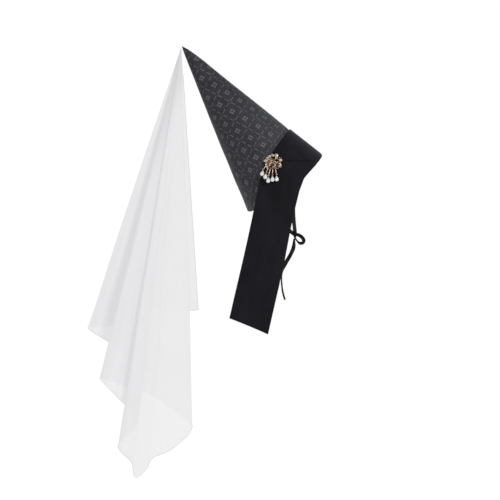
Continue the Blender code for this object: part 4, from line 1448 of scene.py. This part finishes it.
class HENNIN_OT_veil(bpy.types.Operator):
    """Make the sheer veil and its rolled hem."""
    bl_idname = "hennin.veil"
    bl_label = "Veil"

    def execute(self, context):
        scene = context.scene
        sizes, finishes = scene.hennin_veil, scene.hennin_finishes
        points, cloth = veil_grid(sizes)
        chiffon = chiffon_finish(finishes.chiffon, finishes.painted_glow, sizes.density)
        veil = add_piece("veil_chiffon", grid_mesh("veil_chiffon", points, cloth), chiffon)
        dress(veil, "chiffon", "veil")
        hem = self.make_hem(points, sizes, hem_finish(finishes.chiffon, finishes.painted_glow))
        return {"FINISHED"}

    def make_hem(self, points, sizes, material):
        """A narrow roll of the same cloth round its three free sides."""
        path = np.concatenate((points[HEM_FROM_ROW:-1, 0], points[-1],
                               points[HEM_FROM_ROW:-1, -1][::-1]))
        mesh = bpy.data.meshes.new("veil_hem")
        mesh.from_pydata([tuple(p) for p in path], [(k, k + 1) for k in range(len(path) - 1)], [])
        hem = hem_former().form(add_piece("veil_hem", mesh), Width=sizes.hem_width,
                                Sides=HEM_SIDES, Material=material)
        face_outwards(hem.data)
        return dress(hem, "chiffon")


# ---------------------------------------------------------------- the ribbons


def ribbon_line(route, steps=8):
    """Middle and broad direction at fine steps along a ribbon's route."""
    joined = [tuple(v * 0.001 for v in place) + tuple(broad) for place, broad in route]
    rows = smooth_run(joined, steps)
    return [(Vector(r[:3]), Vector(r[3:]).normalized()) for r in rows]


def mirrored(route):
    """The same route on the far side."""
    return tuple(((x, -y, z), (a, -b, c)) for (x, y, z), (a, b, c) in route)


def ribbon_mesh(name, line):
    """A flat woven strip along a line of middles and broad directions, slightly cupped."""
    points = np.zeros((len(line), RIBBON_COLUMNS, 3))
    cloth = np.zeros((len(line), RIBBON_COLUMNS, 2))
    middles = [middle for middle, broad in line]
    run = 0.0
    for i, (middle, broad) in enumerate(line):
        ahead = heading(middles, i)
        face = ahead.cross(broad).normalized()
        broad = face.cross(ahead).normalized()
        if i:
            run += (middle - middles[i - 1]).length
        for j in range(RIBBON_COLUMNS):
            share = 2 * j / (RIBBON_COLUMNS - 1) - 1
            wave = 0.00025 * noise.noise(Vector((run * 120.0, share, 3.0)))
            points[i, j] = (middle + broad * (RIBBON_WIDTH / 2 * share)
                            + face * (RIBBON_CUP * share * share + wave))
            cloth[i, j] = (share * RIBBON_WIDTH / 2, run)
    return grid_mesh(name, points, cloth)


class HENNIN_OT_ribbons(bpy.types.Operator):
    """Make the two satin ties, their bow and its two tails."""
    bl_idname = "hennin.ribbons"
    bl_label = "Ribbons"

    def execute(self, context):
        satin = satin_finish(context.scene.hennin_finishes.satin)
        bow = self.make_bow(satin)
        routes = (
            ("ribbon_near", "tie_near", STRAP_ROUTE, "knot"),
            ("ribbon_far", "tie_far", mirrored(STRAP_ROUTE), "knot"),
            ("ribbon_tail_near", "tie_tail_near", TAIL_NEAR_ROUTE, "bare"),
            ("ribbon_tail_far", "tie_tail_far", TAIL_FAR_ROUTE, "bare"),
        )
        for name, node, route, end in routes:
            line = ribbon_line(route)
            piece = add_piece(name, ribbon_mesh(name, line), satin)
            give_wall(piece, RIBBON_WALL, 0.0)
            dress(piece, "satin", node)
            path = [tuple(middle) for middle, broad in line]
            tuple(path[0])
            [bow] if name == "ribbon_near" else []
        return {"FINISHED"}

    def make_bow(self, satin):
        """The knot and its two loops, in one piece."""
        work = bmesh.new()
        loft_into(work, self.knot_rings())
        bow = add_piece("bow", finish_bmesh("bow", work), satin)
        extra = []
        for name, loop in (("front_loop", FRONT_LOOP), ("back_loop", BACK_LOOP)):
            piece = add_piece(name, self.loop_mesh(name, loop), satin)
            give_wall(piece, RIBBON_WALL, 0.0)
            extra.append(piece)
        join_meshes(bow, extra)
        return dress(bow, "satin", "tie_bow")

    def loop_mesh(self, name, table):
        """One loop, its broad side part square to the loop and part flared outwards."""
        rows = smooth_run(table, 8)
        places = [KNOT_PLACE + Vector(r[:3]) * LOOP_LENGTH for r in rows]
        middle = sum(places, Vector()) / len(places)
        square = Vector()
        for place, following in zip(places, places[1:]):
            square += (place - middle).cross(following - middle)
        square.normalize()
        line = []
        for i, place in enumerate(places):
            outward = heading(places, i).cross(square).normalized()
            if outward.dot(place - middle) < 0:
                outward = -outward
            flare = rows[i][3]
            line.append((place, square * math.sqrt(1 - flare * flare) + outward * flare))
        return ribbon_mesh(name, line)

    def knot_rings(self):
        """The ribbon's band round the middle of the bow, with its pleats."""
        around = 48
        rings = []
        for up in np.linspace(-0.5, 0.5, 25):
            swell = 0.55 + 0.45 * max(math.cos(math.pi * up), 0.0) ** 0.6
            ring = []
            for j in range(around):
                a = 2 * math.pi * j / around
                pleat = 1.0 + 0.07 * math.sin(9.0 * a + 5.0 * up) * math.cos(math.pi * up)
                out = Vector((KNOT_WIDTH / 2 * math.cos(a), KNOT_DEPTH / 2 * math.sin(a), 0.0))
                ring.append(KNOT_PLACE + Vector((0.0, 0.0, KNOT_HEIGHT * up)) + out * swell * pleat)
            rings.append(ring)
        return rings


def join_meshes(piece, others):
    """Add the other pieces' meshes to this one and remove them."""
    work = bmesh.new()
    work.from_mesh(piece.data)
    for other in others:
        work.from_mesh(other.data)
        bpy.data.objects.remove(other, do_unlink=True)
    work.to_mesh(piece.data)
    work.free()


# ---------------------------------------------------------------- the brooch


def brooch_frame():
    """The brooch's axes: across, up and out, on the back plane that its pin lies over."""
    x, z, reach = BROOCH_FORWARD, BROOCH_UP, PLATE_RADIUS
    across = Vector((2 * reach, flank_depth(x - reach, z) - flank_depth(x + reach, z), 0.0))
    up = Vector((0.0, flank_depth(x, z - reach) - flank_depth(x, z + reach), 2 * reach))
    across.normalize()
    out = across.cross(up).normalized()
    low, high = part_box("brooch_pin")
    place = (low + high) / 2 - out * (GAP + PIN_RADIUS)
    made = Matrix((across, out.cross(across), out)).transposed().to_4x4()
    made.translation = place
    return made


def brooch_point(across, up, out):
    """A place on the brooch: across and up in plate radii, out in metres."""
    return Vector((across * PLATE_RADIUS, up * PLATE_RADIUS, out))


def rose_height(raised):
    """How high a rose's heart stands over the plate's back."""
    return PLATE_FACE + 0.35 * ROSE_RADIUS * raised


def petal_into(work, middle, angle, inner, outer, lift, slot):
    """A cupped petal with a rolled rim, growing outwards from the rose's middle."""
    ahead = Vector((math.cos(angle), math.sin(angle), 0.0))
    side = Vector((-math.sin(angle), math.cos(angle), 0.0))

    def place_at(t, s):
        broad = 0.50 * outer * (0.35 + 0.65 * math.sin(math.pi * min(0.15 + 0.80 * t, 0.95)))
        if t > 0.8:
            broad *= 1.0 - 0.55 * ((t - 0.8) / 0.2) ** 2
        height = lift * math.sin(t * math.pi * 0.62) + PETAL_CURL * s * s * (1.0 - 0.5 * t)
        height -= 0.35 * lift * max(t - 0.82, 0.0) / 0.18
        notch = 0.10 * (outer - inner) * math.exp(-(s / 0.25) ** 2) * t ** 6
        reach = inner + (outer - inner) * t - notch
        return middle + ahead * reach + side * (broad * s) + OUT * height

    def hollow_at(t, s):
        return max(1.15 - 1.5 * t, 0.0) * (1 - 0.4 * abs(s))

    shell_into(work, 8, place_at, hollow_at, PETAL_WALL, slot)


def leaf_into(work, place, turn, length, width, slot):
    """A pointed leaf folded along its rib, with veins pressed into both sides."""
    lying = Matrix.Translation(place) @ Matrix.Rotation(turn, 4, "Z")

    def place_at(t, s):
        broad = width * math.sin(math.pi * t ** 0.8) ** 0.9
        vein = 0.00010 * math.sin(26.0 * t - 9.0 * abs(s))
        height = 0.00045 * (1 - t) + 0.0006 * abs(s) * math.sin(math.pi * t) + vein
        return lying @ Vector((length * (t - 0.5), broad * s, height + 0.0004))

    def hollow_at(t, s):
        return 0.85 * math.exp(-(s / 0.22) ** 2) * (1 - 0.7 * t)

    shell_into(work, 14, place_at, hollow_at, LEAF_WALL, slot)


def petal_rim_into(work, middle, angle, radius, height, slot):
    """A petal's raised rim: a wire bent round the rose, thick in the middle of its bend."""
    path = []
    for t in np.linspace(-1.0, 1.0, 13):
        swing = angle + PETAL_RIM_SPAN * t
        reach = radius * (1.0 - 0.22 * t * t)
        path.append(middle + Vector((reach * math.cos(swing), reach * math.sin(swing),
                                     height * (1.0 - 0.25 * t * t))))
    tube_into(work, path, PETAL_RIM_WIRE, 8, lambda u: 0.28 + 0.72 * math.sin(math.pi * u), slot)


class HENNIN_OT_brooch(bpy.types.Operator):
    """Make the openwork brooch: roses, leaves, bud, scrolls, settings and pin."""
    bl_idname = "hennin.brooch"
    bl_label = "Brooch"

    def execute(self, context):
        finishes = context.scene.hennin_finishes
        finish_of = {
            GOLD: metal_finish("rose_gold", finishes.gold, 0.24, 0.28),
            CREAM: enamel_finish("cream_gold", *CREAM_ENAMEL),
            ROSE: enamel_finish("rose_enamel", *ROSE_ENAMEL),
            COPPER: metal_finish("copper", finishes.copper, 0.26, 0.10),
            PALE: enamel_finish("pale_gold", *PALE_ENAMEL),
        }
        wheel = ring_former()
        to_place = brooch_frame()
        work = bmesh.new()
        work.verts.layers.float.new("hollow")
        self.add_plate(work, wheel, finish_of)
        self.add_roses(work, wheel, finish_of)
        self.add_leaves(work)
        self.add_bud(work)
        self.add_arms(work)
        body = add_piece("brooch", finish_bmesh("brooch", work, to_place), *finish_of.values())
        dress(body, "rose_gold", "brooch_body")
        self.make_stones(to_place)
        self.make_pin(to_place, finish_of[GOLD])
        return {"FINISHED"}

    def add_ring(self, work, wheel, item, place, slot, finish_of, hollow=0.0, **values):
        """Add copies of an item, a bmesh of its own, round a ring about a place."""
        piece = add_piece("item", finish_bmesh("item", item))
        wheel.form(piece, Material=finish_of[slot], **values)
        piece.data.transform(Matrix.Translation(place))
        mesh_into(work, piece.data, slot, hollow)
        bpy.data.objects.remove(piece)

    def add_plate(self, work, wheel, finish_of):
        """The plate's rim, the curls that fill it and the beads round it."""
        middle = OUT * (PLATE_BACK + PLATE_WALL / 2)
        reach = 0.93 * PLATE_RADIUS
        rim = ring_places(middle, Vector((reach, 0.0, 0.0)), Vector((0.0, reach, 0.0)), 72)
        tube_into(work, rim + rim[:1], RIM_WIRE, 10, slot=COPPER, hollow=0.55)
        path = []
        for t in np.linspace(0.0, 1.0, 22):
            reach = PLATE_RADIUS * (0.90 - 0.62 * t)
            path.append((reach * math.cos(1.6 * t), reach * math.sin(1.6 * t),
                         0.0003 * math.sin(math.pi * t)))
        curl = bmesh.new()
        tube_into(curl, path, CURL_WIRE, 8, lambda t: 1.0 - 0.3 * t)
        self.add_ring(work, wheel, curl, middle, COPPER, finish_of, 0.7, Copies=CURLS)
        for shift, slot in ((0.5, GOLD), (1.5, COPPER)):
            bead = bmesh.new()
            ball_into(bead, Vector(), RIM_BEAD, 0, 8, 6)
            self.add_ring(work, wheel, bead, middle, slot, finish_of, Copies=RIM_BEADS // 2,
                          Radius=PLATE_RADIUS, Start=2 * math.pi * shift / RIM_BEADS)

    def add_roses(self, work, wheel, finish_of):
        """Three roses: two rings of petals, and a beaded setting for the stone."""
        for (across, up, raised, size, stone, turn), (petal, rim) in zip(ROSES, ROSE_SLOTS):
            middle = brooch_point(across, up, rose_height(raised) - 0.0012)
            radius = ROSE_RADIUS * size
            seat = STONE_RADIUS * stone
            for ring, (start, out, lift) in enumerate(PETAL_RINGS):
                reach = out * radius
                for k in range(PETALS):
                    angle = math.radians(turn) + 2 * math.pi * (k + 0.5 * ring) / PETALS
                    petal_into(work, middle, angle, start * seat, reach, lift, petal)
                    petal_rim_into(work, middle, angle, 0.95 * reach, lift + 0.0004,
                                   rim if (k + ring) % 3 else petal)
            lip = brooch_point(across, up, rose_height(raised) + 0.0006)
            ring_into(work, lip, OUT, seat + 0.0003, SETTING_WIRE, petal)
            bead = bmesh.new()
            ball_into(bead, Vector(), SETTING_BEAD, 0, 6, 5)
            self.add_ring(work, wheel, bead, lip + OUT * 0.0004, rim, finish_of,
                          Copies=SETTING_BEADS, Radius=seat + 0.0003)

    def add_leaves(self, work):
        """The leaves round the roses, and the scrolls with their end balls."""
        for (across, up, length, turn), slot in zip(LEAVES, LEAF_SLOTS):
            place = brooch_point(across, up, PLATE_FACE - 0.0002)
            leaf_into(work, place, math.radians(turn), 1.08 * LEAF_LENGTH * length,
                      0.31 * LEAF_LENGTH, slot)
        for slot, places in SCROLLS:
            path = smooth_run([brooch_point(a, u, PLATE_FACE + lift) for a, u, lift in places], 6)
            tube_into(work, path, SCROLL_WIRE, 8, lambda t: 1.0 - 0.55 * t, slot)
            ball_into(work, Vector(path[-1]), SCROLL_END, slot)

    def add_bud(self, work):
        """A closed bud: three overlapping petals with dark folds between them."""
        middle = brooch_point(BUD_ACROSS, BUD_UP, PLATE_FACE + 0.14 * BUD_LENGTH)
        for turn, shift, size in BUD_PETALS:
            place = middle + Vector((shift, 0.0, -0.010)) * BUD_LENGTH
            stretched = Matrix.Diagonal((0.46 * BUD_LENGTH * size, 0.18 * BUD_LENGTH,
                                         0.20 * BUD_LENGTH, 1.0))
            ball_into(work, Matrix.Translation(place)
                      @ Matrix.Rotation(math.radians(turn), 4, "Z") @ stretched, 1.0, PALE, 24, 16)
        for turn, side in BUD_FOLDS:
            a = math.radians(turn)
            path = []
            for t in np.linspace(0.0, 1.0, 14):
                along = 0.86 * (t - 0.46)
                bulge = 0.20 * math.sqrt(max(1 - (2 * t - 1) ** 2, 0.0))
                path.append(middle + Vector((math.cos(a) * along + side, math.sin(a) * along,
                                             0.92 * bulge)) * BUD_LENGTH)
            tube_into(work, path, BUD_FOLD_WIRE, 6, lambda t: 1.0 - 0.6 * t, COPPER, 0.9)
        for turn in BUD_LEAVES:
            foot = Vector((0.16 * math.cos(math.radians(turn)), -0.34, 0.0)) * BUD_LENGTH
            leaf_into(work, middle + foot, math.radians(turn - 180.0), 0.5 * BUD_LENGTH,
                      0.10 * BUD_LENGTH, GOLD)

    def add_arms(self, work):
        """The five arms that reach down to the drops, each ending in an eye."""
        for across, up, tip_across, tip_up, _ in PRONGS:
            root = brooch_point(across * 0.92, up * 0.92, PLATE_FACE)
            tip = brooch_point(tip_across, tip_up, DROP_OUT)
            run = tip - root
            side = Vector((-run.y, run.x, 0.0)).normalized() * (0.0007 if across < 0 else -0.0007)
            reach = 1 - RING_RADIUS / run.length
            path = [root + run * (t * reach) + (side + OUT * 0.0006) * math.sin(math.pi * t)
                    for t in np.linspace(0.0, 1.0, 13)]
            tube_into(work, path, ARM_WIRE, 10, lambda t: 1.0 - 0.42 * t, CREAM)
            for place, radius, slot in ARM_COLLARS:
                ball_into(work, path[place], radius, slot)
            ring_into(work, tip, OUT, RING_RADIUS, RING_WIRE, GOLD)
            ball_into(work, path[-1], ARM_END, GOLD, 8, 6)

    def make_stones(self, to_place):
        """The cut stones in the roses' hearts."""
        smoky = stone_finish("smoky_stone", *SMOKY)
        garnet = stone_finish("garnet_stone", *GARNET)
        for n, (across, up, raised, _, size, _) in enumerate(ROSES, 1):
            radius = STONE_RADIUS * size
            rings = []
            for level, share, turn in STONE_CUT:
                middle = brooch_point(across, up,
                                      rose_height(raised) + GAP + STONE_HEIGHT * size * level)
                rings.append(ring_places(middle, Vector((0.92 * radius * share, 0.0, 0.0)),
                                         Vector((0.0, 1.06 * radius * share, 0.0)), 12, turn))
            work = bmesh.new()
            loft_into(work, rings, smooth=False)
            piece = add_piece(f"stone_{n}", finish_bmesh(f"stone_{n}", work, to_place),
                              garnet if n == 2 else smoky)
            dress(piece, "stone", f"brooch_stone_{n}")

    def make_pin(self, to_place, gold):
        """The pin behind the plate, with an eye at each end."""
        work = bmesh.new()
        side = PIN_SPAN / 2
        path = [Vector((x, 0.0, GAP + PIN_RADIUS)) for x in np.linspace(-side, side, 16)]
        tube_into(work, path, PIN_RADIUS, 12, lambda t: 1.0 if t < 0.9 else 1.0 - 6.0 * (t - 0.9))
        for end in (-1, 1):
            place = Vector((end * (side + 0.0012), 0.0, GAP + 0.0009))
            ring_into(work, place, Vector((1.0, 0.0, 0.0)), PIN_EYE, PIN_EYE_WIRE, sides=16)
        dress(add_piece("pin", finish_bmesh("pin", work, to_place), gold), "rose_gold", "brooch_pin")


class HENNIN_OT_drops(bpy.types.Operator):
    """Make the pearl drops with their caps and rings."""
    bl_idname = "hennin.drops"
    bl_label = "Pearl drops"

    def execute(self, context):
        finishes = context.scene.hennin_finishes
        pearl = pearl_finish(finishes.pearl)
        gold = bpy.data.materials.get("rose_gold")
        if gold is None:
            raise RuntimeError("make the brooch before its drops")
        to_place = brooch_frame()
        hang = 2 * RING_RADIUS - 2 * RING_WIRE - GAP
        top = RING_WIRE - hang - RING_RADIUS
        rings = []
        for below, share in smooth_run(PEARL_OUTLINE, 3):
            radius = PEARL_RADIUS * share
            rings.append(ring_places(Vector((0.0, top - PEARL_LENGTH * below, 0.0)),
                                     Vector((radius, 0.0, 0.0)), Vector((0.0, 0.0, radius)), 32))
        cap = [Vector((0.0, top + 0.0001 - CAP_LENGTH * t, 0.0)) for t in np.linspace(0, 1, 8)]
        for n, (_, _, tip_across, tip_up, lean) in enumerate(PRONGS, 1):
            tip = brooch_point(tip_across, tip_up, DROP_OUT)
            swing = Matrix.Translation(tip) @ Matrix.Rotation(-math.radians(lean), 4, "Z")
            work = bmesh.new()
            loft_into(work, rings)
            tube_into(work, cap, CAP_RADIUS, 16, lambda t: 0.30 + 0.62 * t, 1)
            ring_into(work, Vector((0.0, -hang, 0.0)), Vector((1.0, 0.0, 0.0)), RING_RADIUS,
                      RING_WIRE, 1)
            piece = add_piece(f"pearl_{n}", finish_bmesh(f"pearl_{n}", work, to_place @ swing),
                              pearl, gold)
            dress(piece, "pearl", f"brooch_drop_{n}")
        return {"FINISHED"}


# ---------------------------------------------------------------- the studio


class HENNIN_OT_camera(bpy.types.Operator):
    """Set the camera level with the hat, side on to the wearer's right."""
    bl_idname = "hennin.camera"
    bl_label = "Camera"

    def execute(self, context):
        camera = bpy.data.objects.new("camera", bpy.data.cameras.new("camera"))
        context.scene.collection.objects.link(camera)
        camera.data.sensor_width = SENSOR
        camera.data.lens = SENSOR * CAMERA_AWAY / PICTURE_WIDTH
        camera.data.clip_start = 0.1
        camera.data.clip_end = 200.0
        camera.location = (PICTURE_X, -CAMERA_AWAY, PICTURE_Z)
        camera.rotation_euler = (math.pi / 2, 0.0, 0.0)
        context.scene.camera = camera
        return {"FINISHED"}


class HENNIN_OT_studio(bpy.types.Operator):
    """Make the floor and the soft white light."""
    bl_idname = "hennin.studio"
    bl_label = "Studio"

    def execute(self, context):
        settings = context.scene.hennin_studio
        context.scene.view_settings.view_transform = "Standard"
        self.make_floor()
        self.make_sky(context, settings)
        for name, place, size, share in LAMPS:
            lamp = bpy.data.objects.new(name, bpy.data.lights.new(name, "AREA"))
            lamp.data.shape = "DISK"
            lamp.data.size = size
            lamp.data.energy = settings.key * share
            context.scene.collection.objects.link(lamp)
            lamp.location = place
            aim = Vector((PICTURE_X, 0.0, PICTURE_Z)) - Vector(place)
            lamp.rotation_euler = aim.to_track_quat("-Z", "Y").to_euler()
        return {"FINISHED"}

    def make_floor(self):
        """A pale round floor under the hat."""
        work = bmesh.new()
        bmesh.ops.create_circle(work, cap_ends=True, segments=96, radius=FLOOR_RADIUS,
                                matrix=Matrix.Translation((0.0, 0.0, FLOOR_Z)))
        mesh = finish_bmesh("floor", work)
        finish = Finish("pale_floor")
        grain = finish.noise(finish.place(), 30.0, 3.0)
        finish.feed("Base Color", finish.mix(grain, (0.94, 0.94, 0.94), (0.96, 0.96, 0.96)))
        finish.constants(Roughness=0.9, Specular_IOR_Level=0.0,
                         Emission_Color=(1.0, 1.0, 1.0, 1.0), Emission_Strength=0.3)
        add_piece("floor", mesh, finish.material)

    def make_sky(self, context, settings):
        """Even white light all round, seen as white."""
        world = bpy.data.worlds.new("studio")
        context.scene.world = world
        world.use_nodes = True
        tree = world.node_tree
        background = tree.nodes["Background"]
        seen = tree.nodes.new("ShaderNodeLightPath")
        bright = tree.nodes.new("ShaderNodeMapRange")
        bright.inputs["To Min"].default_value = settings.sky
        bright.inputs["To Max"].default_value = 1.0
        tree.links.new(seen.outputs["Is Camera Ray"], bright.inputs["Value"])
        tree.links.new(bright.outputs["Result"], background.inputs["Strength"])
        background.inputs["Color"].default_value = (1.0, 1.0, 1.0, 1.0)


class HENNIN_PT_panel(bpy.types.Panel):
    """Lists the hat's makers and sizes."""
    bl_label = "Hennin"
    bl_idname = "HENNIN_PT_panel"
    bl_space_type = "VIEW_3D"
    bl_region_type = "UI"
    bl_category = "Hennin"

    def draw(self, context):
        for maker in MAKERS:
            self.layout.operator(maker.bl_idname)
        for name in GROUPS:
            group = getattr(context.scene, name)
            box = self.layout.box()
            for key in group.__annotations__:
                box.prop(group, key)


GROUPS = {
    "hennin_hat": HatSizes,
    "hennin_veil": VeilSizes,
    "hennin_finishes": Finishes,
    "hennin_studio": StudioSettings,
}
MAKERS = (HENNIN_OT_camera, HENNIN_OT_ribbons, HENNIN_OT_cone, HENNIN_OT_frontlet,
          HENNIN_OT_veil, HENNIN_OT_brooch, HENNIN_OT_drops, HENNIN_OT_studio)


def register():
    for kind in (*GROUPS.values(), *MAKERS, HENNIN_PT_panel):
        bpy.utils.register_class(kind)
    for name, kind in GROUPS.items():
        setattr(bpy.types.Scene, name, PointerProperty(type=kind))


def unregister():
    for name in GROUPS:
        delattr(bpy.types.Scene, name)
    for kind in reversed((*GROUPS.values(), *MAKERS, HENNIN_PT_panel)):
        bpy.utils.unregister_class(kind)


def main():
    register()
    bpy.ops.hennin.camera()
    bpy.ops.hennin.ribbons()
    bpy.ops.hennin.cone()
    bpy.ops.hennin.frontlet()
    bpy.ops.hennin.veil()
    bpy.ops.hennin.brooch()
    bpy.ops.hennin.drops()
    bpy.ops.hennin.studio()


if __name__ == "__main__":
    main()
